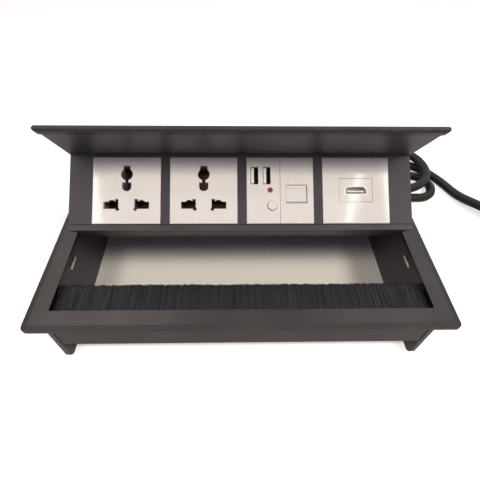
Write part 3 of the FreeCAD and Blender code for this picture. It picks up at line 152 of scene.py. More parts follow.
def smoothLine(name, points, resolution):
    # One open spline of the third order with the route's points as its control points.
    curve = bpy.data.curves.new(name, "CURVE")
    curve.dimensions = "3D"
    curve.resolution_u = resolution
    spline = curve.splines.new("NURBS")
    spline.points.add(len(points) - 1)
    spline.points.foreach_set("co", np.column_stack([points, np.ones(len(points))]).ravel())
    spline.order_u = 3
    spline.use_endpoint_u = True
    return bpy.data.objects.new(name, curve)


def lineOf(lineObject):
    # Points along a curve that has no bevel yet.
    mesh = bpy.data.meshes.new_from_object(lineObject)
    points = np.empty(len(mesh.vertices) * 3)
    mesh.vertices.foreach_get("co", points)
    bpy.data.meshes.remove(mesh)
    return points.reshape(-1, 3)


def makeCord(route):
    # Circle carried along one open spline, from the gland through the coil and the loops to the plug.
    points = np.concatenate([route["tail"], coilTurns(route), route["link"], looseTurns(route),
                             route["lead"]])
    cord = smoothLine("mainsCord", easeCorners(points), route["resolution"])
    bpy.context.scene.collection.objects.link(cord)
    line = lineOf(cord)
    # The thickness is on the points, because a curve's box is padded by their radius.
    spline = cord.data.splines[0]
    spline.points.foreach_set("radius", np.full(len(spline.points), route["diameter"] / 2))
    cord.data.bevel_depth = 1.0
    cord.data.bevel_resolution = route["roundness"]
    cord.data.use_fill_caps = True
    print("cord line:", round(float(np.linalg.norm(np.diff(line, axis=0), axis=1).sum()), 4), "m")
    return cord, line


mainsCord, cordLine = makeCord(cordRoute)
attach(mainsCord, "frame")
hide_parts("cord_tail", "cord_coil", "cord_link", "cord_loops", "cord_lead")


def meshPiece(name, vertices, faces, smooth=True):
    mesh = bpy.data.meshes.new(name)
    mesh.from_pydata(np.asarray(vertices).tolist(), [], faces)
    mesh.polygons.foreach_set("use_smooth", [smooth] * len(mesh.polygons))
    mesh.update()
    piece = bpy.data.objects.new(name, mesh)
    bpy.context.scene.collection.objects.link(piece)
    return piece


def ringFaces(ringCount, ringSize):
    # Quads between neighbouring rings of points, and a face over each end.
    ring = np.arange(ringCount - 1)[:, None] * ringSize
    around = np.arange(ringSize)[None, :]
    following = (around + 1) % ringSize
    quads = np.stack([ring + around, ring + following, ring + ringSize + following,
                      ring + ringSize + around], axis=-1).reshape(-1, 4).tolist()
    quads.append(list(range(ringSize))[::-1])
    quads.append(list(range((ringCount - 1) * ringSize, ringCount * ringSize)))
    return quads


def blockFaces(count):
    # Six quads for each block of eight points: four round one end, then the same four at the other end.
    single = np.array([(0, 1, 2, 3), (4, 7, 6, 5), (0, 4, 5, 1), (1, 5, 6, 2), (2, 6, 7, 3), (3, 7, 4, 0)])
    return (single[None] + 8 * np.arange(count)[:, None, None]).reshape(-1, 4).tolist()


def sweptTube(name, line, radii, sides):
    # Circle carried along a line: at each point its plane is square to the line, and its two axes are the
    # level direction across the line and the one square to both.
    ways = np.gradient(line, axis=0)
    ways /= np.linalg.norm(ways, axis=1)[:, None]
    level = np.cross(ways, [0.0, 0.0, 1.0])
    level /= np.linalg.norm(level, axis=1)[:, None]
    upright = np.cross(level, ways)
    angle = np.linspace(0, -2 * math.pi, sides, endpoint=False)
    ring = (level[:, None, :] * np.cos(angle)[None, :, None]
            + upright[:, None, :] * np.sin(angle)[None, :, None])
    vertices = line[:, None, :] + ring * radii[:, None, None]
    return meshPiece(name, vertices.reshape(-1, 3), ringFaces(len(line), sides))


# Cable brush
brush = {
    "halfLength": 0.1178,
    "rootY": -0.0690,
    "tipY": -0.0431,
    "middleZ": 0.0480,
    "rootHalfThickness": 0.00125,
    "tipHalfThickness": 0.00062,
    "layers": 8,
    "perLayer": 1250,
    "filamentRadius": 0.00010,
    "tipShare": 0.72,           # radius of a tip as a share of the filament's
    "tuft": 0.0042,             # width of the filaments that lean together
    "tuftShare": 0.12,          # how much of the lean a tuft shares
    "lean": 0.0005,
    "clump": 0.0009,            # width of the filaments that were cut to one length
    "raggedness": 0.0011,
    "looseShare": 0.25,         # how much of the raggedness is each filament's own
    "bend": (0.00025, 0.0001),  # of a filament's middle, sideways and upwards
    "tipSpread": 0.00012,
    "coreShort": 0.0016,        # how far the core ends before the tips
    "coreShare": 0.96,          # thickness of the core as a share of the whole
    "coreNotches": 240,
    "coreRagged": 0.0007,       # how far the core's front edge goes in and out
    "seed": 11,
}


def makeBrushCore(size, random):
    # The filaments behind the outer ones, packed as one body: a rectangle carried along the strip whose
    # front edge goes in and out at random.
    count = size["coreNotches"] + 1
    x = np.linspace(-size["halfLength"], size["halfLength"], count)
    tip = size["tipY"] - size["coreShort"] - size["coreRagged"] * random.random(count)
    root = np.full(count, size["rootY"])
    rootHalf = size["rootHalfThickness"] * size["coreShare"]
    tipHalf = size["tipHalfThickness"] * size["coreShare"]
    corners = [(root, -rootHalf), (tip, -tipHalf), (tip, tipHalf), (root, rootHalf)]
    rings = np.stack([np.column_stack([x, y, np.full(count, size["middleZ"] + rise)])
                      for y, rise in corners], axis=1)
    return rings.reshape(-1, 3), ringFaces(count, 4)


def makeBristles(size):
    # Filaments in layers: each is a three-sided prism through three rings, from the root to a ragged tip
    # that leans aside a little. The filaments of a tuft share part of their lean, and those of a clump
    # most of their length.
    random = np.random.default_rng(size["seed"])
    count = size["layers"] * size["perLayer"]
    layer = np.repeat(np.arange(size["layers"]), size["perLayer"])
    place = np.tile(np.linspace(-1, 1, size["perLayer"]), size["layers"]) * size["halfLength"]
    place = place + random.uniform(-1, 1, count) * size["halfLength"] / size["perLayer"]
    place = np.clip(place, -size["halfLength"], size["halfLength"])
    tuft = np.floor((place + size["halfLength"]) / size["tuft"]).astype(int)
    tuftLean = random.normal(0, 1, tuft.max() + 1)[tuft]
    clump = np.floor((place + size["halfLength"]) / size["clump"]).astype(int)
    clumpCut = random.random(clump.max() + 1)[clump]
    across = layer / (size["layers"] - 1) * 2 - 1
    lean = size["lean"] * (size["tuftShare"] * tuftLean + random.normal(0, 1, count))
    cut = size["raggedness"] * (clumpCut + size["looseShare"] * np.abs(random.normal(0, 1, count)))
    rootZ = size["middleZ"] + across * size["rootHalfThickness"]
    tipZ = size["middleZ"] + across * size["tipHalfThickness"] + random.normal(0, size["tipSpread"], count)
    root = np.column_stack([place, np.full(count, size["rootY"]), rootZ])
    tip = np.column_stack([np.clip(place + lean, -size["halfLength"], size["halfLength"]),
                           size["tipY"] - cut, tipZ])
    middle = (root + tip) / 2 + np.column_stack([random.normal(0, size["bend"][0], count), np.zeros(count),
                                                 random.normal(0, size["bend"][1], count)])
    angle = random.uniform(0, 2 * math.pi, count)[:, None] - np.arange(3)[None, :] * 2 * math.pi / 3
    ring = np.stack([np.cos(angle), np.zeros_like(angle), np.sin(angle)], axis=-1)
    thickness = size["filamentRadius"] * np.array([1.0, 1.0, size["tipShare"]])
    stations = np.stack([root, middle, tip], axis=1)
    vertices = stations[:, :, None, :] + ring[:, None, :, :] * thickness[None, :, None, None]
    rings, sides = vertices.shape[1:3]
    single = ringFaces(rings, sides)
    faces = [[corner + rings * sides * index for corner in face] for index in range(count) for face in single]
    coreVertices, coreFaces = makeBrushCore(size, random)
    faces += [[corner + rings * sides * count for corner in face] for face in coreFaces]
    allVertices = np.concatenate([vertices.reshape(-1, 3), coreVertices])
    return meshPiece("brushBristles", allVertices, faces, smooth=False)


brushBristles = makeBristles(brush)
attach(brushBristles, "frame")
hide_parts("brush_bristles")
print("brush made")

# Lead between the gland and the flip unit, and the sleeve on the gland
leads = {
    "inner": [(-0.060, 0.0724, 0.031), (-0.060, 0.03565, 0.031), (-0.060, 0.0223, 0.0491)],
    "resolution": 16,
    "sides": 20,
    "bendFrom": (-0.060, 0.0660, 0.0310),  # where the frame stops holding it
    "bendTo": (-0.060, 0.0223, 0.0491),    # where the flip unit holds it
}
sleeve = {
    "start": 0.0840,     # Y inside the gland's dome
    "length": 0.030,
    "thick": 0.0062,     # radius at the gland
    "thin": 0.0048,      # radius at the mouth
    "ribs": 5,
    "ribDepth": 0.00055,
    "mouthRound": (0.0007, 0.06),  # how much the radius falls at the mouth, over what share of the length
    "searched": 40,                # points of the cord's line, from the gland, among which the start is found
    "rings": 61,
    "sides": 28,
}


def makeInnerLead(size, diameter):
    # Circle carried along the open spline of the lead's three points.
    guide = smoothLine("innerLeadLine", np.array(size["inner"]), size["resolution"])
    bpy.context.scene.collection.objects.link(guide)
    line = lineOf(guide)
    bpy.data.objects.remove(guide)
    return sweptTube("innerLead", line, np.full(len(line), diameter / 2), size["sides"])


def makeSleeve(size, line):
    # Tapered tube along the cord's own line, with grooves between its ribs and a rounded mouth.
    steps = np.concatenate([[0], np.cumsum(np.linalg.norm(np.diff(line, axis=0), axis=1))])
    searched = size["searched"]
    first = np.interp(size["start"], line[:searched, 1], steps[:searched])
    share = np.linspace(0, 1, size["rings"])
    along = first + share * size["length"]
    centres = np.column_stack([np.interp(along, steps, line[:, axis]) for axis in range(3)])
    taper = size["thick"] + (size["thin"] - size["thick"]) * share
    groove = size["ribDepth"] * (0.5 - 0.5 * np.cos(2 * math.pi * size["ribs"] * share)) ** 3
    fall, roundShare = size["mouthRound"]
    mouth = fall * smoothStep((share - (1 - roundShare)) / roundShare)
    return sweptTube("glandSleeve", centres, taper - groove - mouth, size["sides"])


innerLead = makeInnerLead(leads, cordRoute["diameter"])
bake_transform(innerLead)
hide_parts("inner_lead")
glandSleeve = makeSleeve(sleeve, cordLine)
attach(glandSleeve, "frame")
print("lead and sleeve made")

# Flip unit's own axes, and the contact pads in the charger's two ports
unitFrame = {
    "pivot": (0.0601, 0.0484),  # Y and Z of the hinge
    "open": 53.6,               # degrees that the unit leans from its closed place
    "faceY": -0.0618,           # front of the modules, in the closed unit
    "middleZ": -0.0211,         # middle of the modules
}
pads = {
    "usbMiddles": (-0.04275, -0.03445),  # X of each port, from the unit's middle
    "usbHeight": 0.01005,
    "tongueInside": -0.0003,             # X of the tongue's contact side, from the port's middle
    "padHeights": (-0.0035, -0.0010, 0.0010, 0.0035),
    "padWidth": 0.0009,
    "padLength": 0.0070,
    "padDepth": 0.0010,                  # how far behind the face a pad starts
    "noseLength": 0.0006,
    "padThickness": 0.00012,
}


def onUnit(points):
    # From the closed unit's own axes to the open place: a turn about the hinge.
    angle = math.radians(-unitFrame["open"])
    y = points[:, 1] * math.cos(angle) - points[:, 2] * math.sin(angle)
    z = points[:, 1] * math.sin(angle) + points[:, 2] * math.cos(angle)
    return np.column_stack([points[:, 0], unitFrame["pivot"][0] + y, unitFrame["pivot"][1] + z])


def makePads(size):
    # Bars with a sloped nose on the tongues' contact sides.
    bars = []
    for middle in size["usbMiddles"]:
        for height in size["padHeights"]:
            low = unitFrame["middleZ"] + size["usbHeight"] + height - size["padWidth"] / 2
            high = low + size["padWidth"]
            base = middle + size["tongueInside"]
            top = base + size["padThickness"]
            front = unitFrame["faceY"] + size["padDepth"]
            nose = front + size["noseLength"]
            back = front + size["padLength"]
            bars.append([(base, front, low), (base, front, high), (base, back, high), (base, back, low),
                         (top, nose, low), (top, nose, high), (top, back, high), (top, back, low)])
    return meshPiece("usbPads", onUnit(np.array(bars).reshape(-1, 3)), blockFaces(len(bars)), smooth=False)


usbPads = makePads(pads)
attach(usbPads, "flip_unit")
print("contacts made")

# Painted shade: black strips round the data cover, round the button and under the lid's front edge, and a
# black line across the data cover, standing in for the shade in the gaps there and on the slope
shadeStrips = {
    "cover": {
        "window": (0.02935, 0.04365, -0.0299, -0.01735),  # left, right, bottom and top in the closed unit
        "widths": (0.00016, 0.00024, 0.00060, 0.00018),   # of the left, right, bottom and top bars
        "depths": (-0.06130, -0.06093),                   # Y of its front and back
        "line": (0.00130, 0.00012, 0.0004),               # height above the bottom, width, inset of each end
        "lineDepths": (-0.06094, -0.06080),
    },
    "button": {"middle": (0.02025, -0.0315), "inner": 0.00322, "outer": 0.00344,
               "depths": (-0.06175, -0.0610), "sides": 48},
    "lid": {"halfLength": 0.1144, "front": -0.1061, "under": 0.0020, "slope": 0.00125, "thickness": 0.00016},
}


def unitBlocks(name, profiles):
    # Each block is a four-cornered outline in Y and Z, carried from one X to another.
    ends = np.array([profile[:2] for profile in profiles])
    outlines = np.array([profile[2] for profile in profiles])
    x = np.repeat(ends[:, :, None, None], 4, axis=2)
    beside = np.repeat(outlines[:, None], 2, axis=1)
    vertices = np.concatenate([x, beside], axis=-1).reshape(-1, 3)
    return meshPiece(name, onUnit(vertices), blockFaces(len(profiles)), smooth=False)


def makeCoverShade(size):
    # Four black bars inside the window's edges, painted shade for the gap round the cover, widest at the
    # bottom and the right: two across its whole width and two between them.
    left, right, bottom, top = size["window"]
    leftWidth, rightWidth, bottomWidth, topWidth = size["widths"]
    front, back = size["depths"]

    def bar(x0, x1, z0, z1):
        return x0, x1, [(front, z0), (front, z1), (back, z1), (back, z0)]

    low = bottom + bottomWidth
    high = top - topWidth
    return unitBlocks("coverShade", [
        bar(left, right, bottom, low), bar(left, right, high, top), bar(left, left + leftWidth, low, high),
        bar(right - rightWidth, right, low, high)])


def makeCoverShadeLine(size):
    # Black strip across the sliding cover, painted shade for a dark line on it, thin enough to pass behind
    # the face with it.
    left, right, bottom = size["window"][:3]
    height, width, inset = size["line"]
    front, back = size["lineDepths"]
    low = bottom + height
    high = low + width
    return unitBlocks("coverShadeLine", [(left + inset, right - inset,
                                     [(front, low), (front, high), (back, high), (back, low)])])


def makeButtonShade(size):
    # Black ring round the button, painted shade for the gap there: a rectangle turned about the button's
    # axis.
    front, back = size["depths"]
    section = [(size["inner"], front), (size["outer"], front), (size["outer"], back), (size["inner"], back)]
    angle = np.linspace(0, 2 * math.pi, size["sides"], endpoint=False)
    rings = np.stack([np.column_stack([size["middle"][0] + radius * np.cos(angle),
                                       np.full(size["sides"], depth),
                                       size["middle"][1] + radius * np.sin(angle)])
                      for radius, depth in section], axis=1)
    here = np.arange(size["sides"])[:, None] * len(section)
    after = np.roll(here, -1, axis=0)
    corner = np.arange(len(section))[None, :]
    following = np.roll(corner, -1, axis=1)
    faces = np.stack([here + corner, here + following, after + following, after + corner], axis=-1)
    return meshPiece("buttonShade", onUnit(rings.reshape(-1, 3)), faces.reshape(-1, 4).tolist(), smooth=False)


def makeLidShade(size):
    # Black strip on the slope under the lid's front edge, painted shade for the dark band there.
    front, under, slope, thick = size["front"], size["under"], size["slope"], size["thickness"]
    outline = [(front + slope - thick, under - thick), (front - thick, under + slope - thick),
               (front, under + slope), (front + slope, under)]
    return unitBlocks("lidShade", [(-size["halfLength"], size["halfLength"], outline)])


# The painted shade pieces, each carried by the body it lies on
shadeStripPieces = [makeCoverShade(shadeStrips["cover"]), makeButtonShade(shadeStrips["button"]), makeLidShade(shadeStrips["lid"])]
for shadeStripPiece in shadeStripPieces:
    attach(shadeStripPiece, "flip_unit")
coverShadeLine = makeCoverShadeLine(shadeStrips["cover"])
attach(coverShadeLine, "shutter")
shadeStripPieces.append(coverShadeLine)
print("seals made")


def linear(hexColour):
    # sRGB hex to linear: the standard curve on each channel
    value = np.array([int(hexColour[i:i + 2], 16) for i in (1, 3, 5)]) / 255
    value = np.where(value <= 0.04045, value / 12.92, ((value + 0.055) / 1.055) ** 2.4)
    return (*value.tolist(), 1.0)


def addNode(tree, kind, inputs=None, **settings):
    # A node with its settings. An input given as another node's output is linked, and any other is set.
    node = tree.nodes.new("ShaderNode" + kind)
    for name, value in settings.items():
        setattr(node, name, value)
    for name, value in (inputs or {}).items():
        if isinstance(value, bpy.types.NodeSocket):
            tree.links.new(value, node.inputs[name])
        else:
            node.inputs[name].default_value = value
    return node


# What a finish has where it says nothing else. Lengths are in mm. Real drawing lines, blasting and mould
# texture are a few hundredths of a millimetre apart: a grain below 1 mm is drawn coarser, so that it shows.
plainFinish = {
    "metallic": 0.0,
    "stretch": (1, 1, 1),    # share of the grain's scale on each axis: a small share gives long lines
    "grainDetail": 3.0,
    "grainRoughness": 0.6,
    "cloud": 35,             # spacing of the slow change of shade
    "cloudDetail": 2.0,
    "grainShare": 0.5,       # how much of the change of shade is the grain's
    "range": (0.3, 0.7),     # of the noise, between the dark and the light colour
    "bump": 0.01,
    "bumpStrength": 0.5,
    "sockets": {},           # values set on the shader as they are
}


def makeFinish(name, ownLook):
    # Two noises, a fine grain and a slow cloud, mixed between the dark and the light colour. The grain also
    # sets the roughness and a small bump.
    look = {**plainFinish, **ownLook}
    least, most = look["range"]
    material = bpy.data.materials.new(name)
    material.use_nodes = True
    tree = material.node_tree
    tree.nodes.clear()
    place = addNode(tree, "TexCoord").outputs["Object"]
    stretched = addNode(tree, "Mapping", {"Vector": place, "Scale": look["stretch"]})
    grain = addNode(tree, "TexNoise", {"Vector": stretched.outputs[0], "Scale": 1000 / look["grain"],
                                       "Detail": look["grainDetail"], "Roughness": look["grainRoughness"]})
    cloud = addNode(tree, "TexNoise", {"Vector": place, "Scale": 1000 / look["cloud"],
                                       "Detail": look["cloudDetail"]})
    both = addNode(tree, "Mix", {0: look["grainShare"], 2: cloud.outputs[0], 3: grain.outputs[0]})
    spread = addNode(tree, "MapRange", {"Value": both.outputs[0], "From Min": least, "From Max": most})
    colour = addNode(tree, "Mix", {0: spread.outputs[0], 6: linear(look["dark"]), 7: linear(look["light"])},
                     data_type="RGBA")
    rough = addNode(tree, "MapRange", {"Value": grain.outputs[0], "From Min": least, "From Max": most,
                                       "To Min": look["roughness"][0], "To Max": look["roughness"][1]})
    bump = addNode(tree, "Bump", {"Strength": look["bumpStrength"], "Distance": look["bump"] / 1000,
                                  "Height": grain.outputs[0]})
    shader = addNode(tree, "BsdfPrincipled", {"Base Color": colour.outputs[2], "Roughness": rough.outputs[0],
                                              "Normal": bump.outputs[0], "Metallic": look["metallic"],
                                              **look["sockets"]})
    addNode(tree, "OutputMaterial", {"Surface": shader.outputs[0]})
    return material


finishes = {
    # Anodised 6063 aluminium, extruded: satin dark grey with faint lines along the extrusion
    "anodisedExtrusion": {"dark": "#3c393b", "light": "#494547", "roughness": (0.40, 0.50), "metallic": 1.0,
                          "grain": 0.5, "stretch": (0.02, 1, 1), "grainShare": 0.35, "bump": 0.006},
    # The same on the lid, painted a shade lighter: painted light on its underside and wings
    "litLidAnodised": {"dark": "#514e52", "light": "#625f63", "roughness": (0.42, 0.52), "metallic": 1.0,
                    "grain": 0.5, "stretch": (0.02, 1, 1), "grainShare": 0.35, "bump": 0.006},
    # Anodised aluminium plate, bead blasted: an even, finer satin
    "anodisedPlate": {"dark": "#383536", "light": "#454142", "roughness": (0.38, 0.48), "metallic": 1.0,
                      "grain": 0.35, "grainShare": 0.4, "bump": 0.008},
    # Polycarbonate, gloss moulded: warm white, a faint waviness in its reflections
    "mouldedPolycarbonate": {"dark": "#e7e0d8", "light": "#ede6de", "roughness": (0.05, 0.09), "grain": 9.0,
                             "cloud": 20, "bump": 0.008, "sockets": {"IOR": 1.58}},
    # Glass-filled nylon, moulded: matt dark grey with a fine texture
    "mouldedNylon": {"dark": "#2a2a2c", "light": "#37373a", "roughness": (0.45, 0.6), "grain": 0.4,
                     "bump": 0.02, "sockets": {"IOR": 1.53}},
    # Liquid crystal polymer, moulded: matt off-white tongues
    "mouldedTongue": {"dark": "#e4e2dc", "light": "#f1efea", "roughness": (0.35, 0.45), "grain": 0.5,
                      "bump": 0.01, "sockets": {"IOR": 1.6}},
    # Brass, stamped: warm yellow with rolling lines
    "stampedBrass": {"dark": "#b8944f", "light": "#d6b56c", "roughness": (0.2, 0.34), "metallic": 1.0,
                     "grain": 0.25, "stretch": (1, 0.1, 1), "bump": 0.004},
    # Steel sheet, powder coated: soft dark grey with a slight orange peel
    "powderCoatedSheet": {"dark": "#38333a", "light": "#403b42", "roughness": (0.42, 0.55), "grain": 0.8,
                          "bump": 0.01, "sockets": {"IOR": 1.5}},
    # Matt black, painted shade: the strips in the gaps round the data cover and the button, the line across
    # the cover and the slope under the lid's front edge
    "paintedShadeBlack": {"dark": "#1c191b", "light": "#262325", "roughness": (0.6, 0.75), "grain": 0.6,
                       "bump": 0.008, "sockets": {"IOR": 1.5}},
    # Urea resin, pressed: the outlets' own bases, dark grey with a violet cast in their holes' shade
    "pressedUrea": {"dark": "#93808c", "light": "#a48f99", "roughness": (0.4, 0.5), "grain": 0.8,
                    "bump": 0.01, "sockets": {"IOR": 1.6}},
    # Steel, stamped and coloured near black all over: the charger ports' shells
    "nearBlackSteel": {"dark": "#2b272a", "light": "#3a3639", "roughness": (0.3, 0.4), "metallic": 1.0,
                         "grain": 0.3, "bump": 0.004},
    # Tin-plated brass, drawn: the pale shell of the video port
    "tinPlatedBrass": {"dark": "#d9d5cd", "light": "#efebe4", "roughness": (0.3, 0.42), "metallic": 1.0,
                       "grain": 0.6, "stretch": (1, 0.2, 1), "bump": 0.004},
    # Brass, stamped: the outlets' own contacts, painted dull brown for the shade deep in their holes
    "shadeDarkenedBrass": {"dark": "#5a463d", "light": "#765f55", "roughness": (0.45, 0.6), "metallic": 1.0,
                       "grain": 0.3, "bump": 0.006},
    # Nickel-plated steel, stamped: bright with fine drawing lines
    "platedSteel": {"dark": "#c4c1bc", "light": "#dfdcd7", "roughness": (0.2, 0.34), "metallic": 1.0,
                    "grain": 0.25, "stretch": (1, 0.08, 1), "bump": 0.004},
    # Steel with black oxide, turned: near black with a soft sheen
    "blackOxideSteel": {"dark": "#2b2a2b", "light": "#3d3b3c", "roughness": (0.3, 0.45), "metallic": 1.0,
                        "grain": 0.3, "bump": 0.006},
    # Acetal, moulded: waxy black
    "mouldedAcetal": {"dark": "#1b1b1d", "light": "#26262a", "roughness": (0.3, 0.42), "grain": 0.6,
                      "bump": 0.008, "sockets": {"IOR": 1.48}},
    # Galvanised steel strip, rolled and painted dark: slight orange peel
    "paintedStrip": {"dark": "#2e2c2d", "light": "#3a3738", "roughness": (0.35, 0.5), "grain": 0.9,
                     "bump": 0.012, "sockets": {"IOR": 1.5}},
    # Nylon filament, drawn: near black and nearly matt, with faint lines along the filaments
    "drawnBristle": {"dark": "#171417", "light": "#211d22", "roughness": (0.56, 0.72), "grain": 1.1,
                     "stretch": (1, 0.1, 1), "grainShare": 0.6, "bump": 0.0, "sockets": {"IOR": 1.53}},
    # Glass fibre laminate with green solder mask, printed
    "solderMask": {"dark": "#123d25", "light": "#1b5434", "roughness": (0.2, 0.35), "grain": 0.8,
                   "bump": 0.01, "sockets": {"IOR": 1.55}},
    # Acrylic, moulded and tinted red: the charger's indicator
    "tintedAcrylic": {"dark": "#6f1a2d", "light": "#8a2439", "roughness": (0.2, 0.3), "grain": 1.2,
                      "bump": 0.006, "sockets": {"IOR": 1.49}},
    # Nylon, moulded: the gland, the plug and their sleeves, near black
    "mouldedBlack": {"dark": "#18181a", "light": "#232326", "roughness": (0.34, 0.46), "grain": 0.5,
                     "bump": 0.012, "sockets": {"IOR": 1.53}},
    # Soft PVC, extruded: black sheath with a dull shine and fine die lines
    "extrudedSheath": {"dark": "#141315", "light": "#1d1c1e", "roughness": (0.4, 0.52), "grain": 1.2,
                       "bump": 0.01, "sockets": {"IOR": 1.45, "Specular IOR Level": 0.3}},
    # PVC wire covering, extruded: brown
    "extrudedWire": {"dark": "#5f2a1a", "light": "#74362a", "roughness": (0.35, 0.45), "grain": 0.6,
                     "bump": 0.006, "sockets": {"IOR": 1.54}},
}
finishOf = {
    "litLidAnodised": ["lid"],
    "anodisedExtrusion": ["lid_front_trim", "face_plate", "lower_rail", "rear_cover", "front_skirt",
                          "rear_skirt"],
    "anodisedPlate": ["top_bezel", "left_cheek", "right_cheek"],
    "powderCoatedSheet": ["left_end_plate", "right_end_plate"],
    "paintedShadeBlack": shadeStripPieces,
    "mouldedPolycarbonate": ["socket1_face", "socket2_face", "usb_face", "data_face", "hdmi_face",
                             "hdmi_insert", "usb_button", "data_shutter"],
    "mouldedNylon": ["usb_base", "hdmi_coupler", "data_jack", "terminal_block"],
    "pressedUrea": ["socket1_base", "socket2_base"],
    "mouldedTongue": ["usb_port_tongues", "hdmi_tongue"],
    "nearBlackSteel": ["usb_port_shells"],
    "tinPlatedBrass": ["hdmi_shell"],
    "shadeDarkenedBrass": ["socket1_contacts", "socket2_contacts"],
    "stampedBrass": ["jack_contacts", "plug_pins", usbPads],
    "platedSteel": ["left_spring_clip", "right_spring_clip", "clip_rivets", "pivot_pins", "stop_pins",
                    "terminal_screws"],
    "blackOxideSteel": ["skirt_screws", "bezel_screws", "cheek_screws"],
    "mouldedAcetal": ["friction_washers", "pivot_bushes"],
    "paintedStrip": ["brush_carrier"],
    "drawnBristle": [brushBristles],
    "solderMask": ["usb_board"],
    "tintedAcrylic": ["usb_led"],
    "mouldedBlack": ["cord_gland", "gland_nut", "plug_body", glandSleeve],
    "extrudedSheath": [mainsCord, innerLead, "lead_grommet"],
    "extrudedWire": ["bus_wires"],
}


def dress(piece, material):
    # A node is given by its name, and a piece made here by its object.
    if isinstance(piece, str):
        piece = cadNodes[piece]
    piece.data.materials.clear()
    piece.data.materials.append(material)
    for slot in piece.material_slots:
        slot.link = "OBJECT"
        slot.material = material


def flattenShading(piece):
    # Large flat faces keep their own direction beside the rounded edges, so that gloss doesn't bend.
    weighted = cadNodes[piece].modifiers.new("flatFaces", "WEIGHTED_NORMAL")
    weighted.keep_sharp = True
    weighted.weight = 100


# Finishes whose nodes are mostly large flat faces
flatFinishes = ("litLidAnodised", "anodisedExtrusion", "anodisedPlate", "powderCoatedSheet",
                "mouldedPolycarbonate")
for finishName, finishedPieces in finishOf.items():
    finish = makeFinish(finishName, finishes[finishName])
    for finishedPiece in finishedPieces:
        dress(finishedPiece, finish)
        if finishName in flatFinishes:
            flattenShading(finishedPiece)
print("finishes made:", len(finishOf))

# Floor, lamps and background
studio = {
    "floorSize": 3.0,
    "floorColour": "#f4ece2",
    "floorRoughness": 0.85,
    "floorGloss": 0.2,            # specular level
    "grainScale": 700.0,          # a roller's texture about 1.4 mm apart
    "grainDetail": 2.0,
    "grainBump": (0.3, 0.00005),  # strength and height
    "floorGlow": 0.60,            # what the camera sees of the floor above its own shade, outside the box
    "mirroredGlow": 0.20,         # the same, as gloss and metal show it
    "glowMiddle": (0.0, 0.006),   # middle of the floor inside the box, which has no glow
    "glowHalf": (0.118, 0.066),
    "glowSoftness": 0.004,
    "ambient": 0.175,
    "ambientColour": "#dedcff",
    "lamps": {
        # place, width and height in metres, power in watts and colour, for the two that light surfaces
        "rightKey": ((0.75, -0.62, 1.45), (0.45, 0.40), 13.9, "#fffaf3"),
        "leftKey": ((-0.55, -0.68, 1.50), (0.45, 0.40), 9.0, "#fffaf3"),
    },
    "panels": {
        # the same and degrees about Z, for level bright panels that only show in gloss and metal
        "frontPanel": ((-0.05, -1.15, 1.60), (1.50, 0.90), 5.0, "#fffaf4", 0),
        "rightPanel": ((1.16, -0.80, 1.40), (0.60, 0.70), 7.5, "#fff8f0", 0),
        "leftPanel": ((-1.05, -0.80, 1.40), (0.50, 0.60), 3.4, "#fff8f0", 0),
        "backPanelLeft": ((-0.70, 0.80, 1.60), (0.80, 0.90), 8.5, "#fff6ea", 0),
        "backPanelRight": ((0.84, 0.80, 1.60), (0.60, 0.90), 6.0, "#fffaf8", 0),
        "leftStrip": ((-0.748, -0.80, 1.59), (0.040, 0.44), 0.49, "#ffffff", -9),
        "rightStrip": ((0.842, -0.72, 1.59), (0.034, 0.32), 0.32, "#ffffff", 18),
        "innerStrip": ((0.648, -0.74, 1.59), (0.036, 0.34), 0.31, "#ffffff", -2),
    },
    "aim": (0.0, 0.0, 0.05),      # the point that the lamps face
}


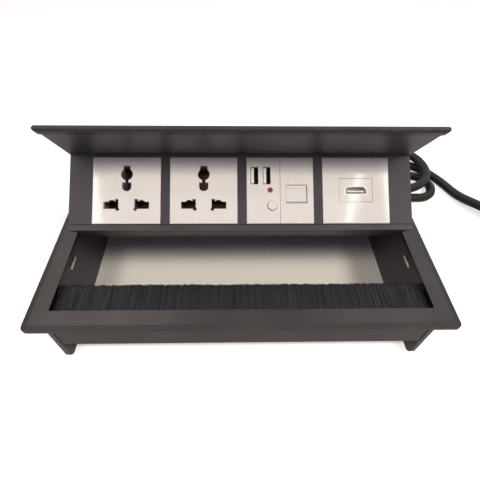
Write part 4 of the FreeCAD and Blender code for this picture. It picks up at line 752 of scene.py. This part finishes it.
def makeFloor(size):
    # Matt painted board with a faint roller texture. The camera sees it lifted towards white, but not
    # inside the box: the glow starts outside the box's rectangle.
    half = size["floorSize"] / 2
    floor = meshPiece("floor", [(-half, -half, 0), (half, -half, 0), (half, half, 0), (-half, half, 0)],
                      [(0, 1, 2, 3)])
    material = bpy.data.materials.new("paintedBoard")
    material.use_nodes = True
    tree = material.node_tree
    tree.nodes.clear()
    place = addNode(tree, "TexCoord").outputs["Object"]
    grain = addNode(tree, "TexNoise", {"Vector": place, "Scale": size["grainScale"],
                                       "Detail": size["grainDetail"]})
    strength, rise = size["grainBump"]
    bump = addNode(tree, "Bump", {"Strength": strength, "Distance": rise, "Height": grain.outputs[0]})
    board = addNode(tree, "BsdfPrincipled", {"Base Color": linear(size["floorColour"]),
                                             "Roughness": size["floorRoughness"],
                                             "Specular IOR Level": size["floorGloss"],
                                             "Normal": bump.outputs[0]})
    axes = addNode(tree, "SeparateXYZ", {0: place})
    beside = []
    for axis in (0, 1):
        middled = addNode(tree, "Math", {0: axes.outputs[axis], 1: size["glowMiddle"][axis]},
                          operation="SUBTRACT")
        far = addNode(tree, "Math", {0: middled.outputs[0]}, operation="ABSOLUTE")
        beside.append(addNode(tree, "Math", {0: far.outputs[0], 1: size["glowHalf"][axis]},
                              operation="SUBTRACT"))
    outside = addNode(tree, "Math", {0: beside[0].outputs[0], 1: beside[1].outputs[0]}, operation="MAXIMUM")
    grown = addNode(tree, "MapRange", {"Value": outside.outputs[0], "From Min": 0.0,
                                       "From Max": size["glowSoftness"]})
    rays = addNode(tree, "LightPath")
    direct = addNode(tree, "Math", {0: rays.outputs["Is Camera Ray"], 1: size["floorGlow"]},
                     operation="MULTIPLY")
    mirrored = addNode(tree, "Math", {0: rays.outputs["Is Glossy Ray"], 1: size["mirroredGlow"]},
                       operation="MULTIPLY")
    seen = addNode(tree, "Math", {0: direct.outputs[0], 1: mirrored.outputs[0]}, operation="MAXIMUM")
    level = addNode(tree, "Math", {0: seen.outputs[0], 1: grown.outputs[0]}, operation="MULTIPLY")
    glow = addNode(tree, "Emission", {"Color": linear("#ffffff"), "Strength": level.outputs[0]})
    both = addNode(tree, "AddShader", {0: board.outputs[0], 1: glow.outputs[0]})
    addNode(tree, "OutputMaterial", {"Surface": both.outputs[0]})
    dress(floor, material)


def makeBackground(size):
    world = bpy.data.worlds.new("studio")
    world.use_nodes = True
    bpy.context.scene.world = world
    tree = world.node_tree
    tree.nodes.clear()
    rays = addNode(tree, "LightPath")
    seen = addNode(tree, "Math", {0: rays.outputs["Is Camera Ray"], 1: rays.outputs["Is Glossy Ray"]},
                   operation="MAXIMUM")
    either = addNode(tree, "Math", {0: seen.outputs[0], 1: rays.outputs["Is Transmission Ray"]},
                     operation="MAXIMUM")
    plain = addNode(tree, "Background", {"Color": linear(size["ambientColour"]),
                                         "Strength": size["ambient"]})
    white = addNode(tree, "Background", {"Color": linear("#ffffff"), "Strength": 1.0})
    mixed = addNode(tree, "MixShader", {0: either.outputs[0], 1: plain.outputs[0], 2: white.outputs[0]})
    addNode(tree, "OutputWorld", {"Surface": mixed.outputs[0]})


def makeLamps(size):
    # Lamps face one point and light surfaces only. Panels lie level and only gloss and metal show them.
    for group, mirrored in (("lamps", False), ("panels", True)):
        for name, (place, sides, power, colour, *turn) in size[group].items():
            data = bpy.data.lights.new(name, "AREA")
            data.shape = "RECTANGLE"
            data.size, data.size_y = sides
            data.energy = power
            data.color = linear(colour)[:3]
            lamp = bpy.data.objects.new(name, data)
            lamp.location = place
            if mirrored:
                lamp.rotation_euler = (0, 0, math.radians(turn[0]))
            else:
                way = Vector(size["aim"]) - Vector(place)
                lamp.rotation_euler = way.to_track_quat("-Z", "Y").to_euler()
            lamp.visible_glossy = mirrored
            lamp.visible_diffuse = not mirrored
            bpy.context.scene.collection.objects.link(lamp)


makeFloor(studio)
makeBackground(studio)
makeLamps(studio)
bpy.context.scene.view_settings.view_transform = "Standard"
print("studio made")

bpy.context.view_layer.update()
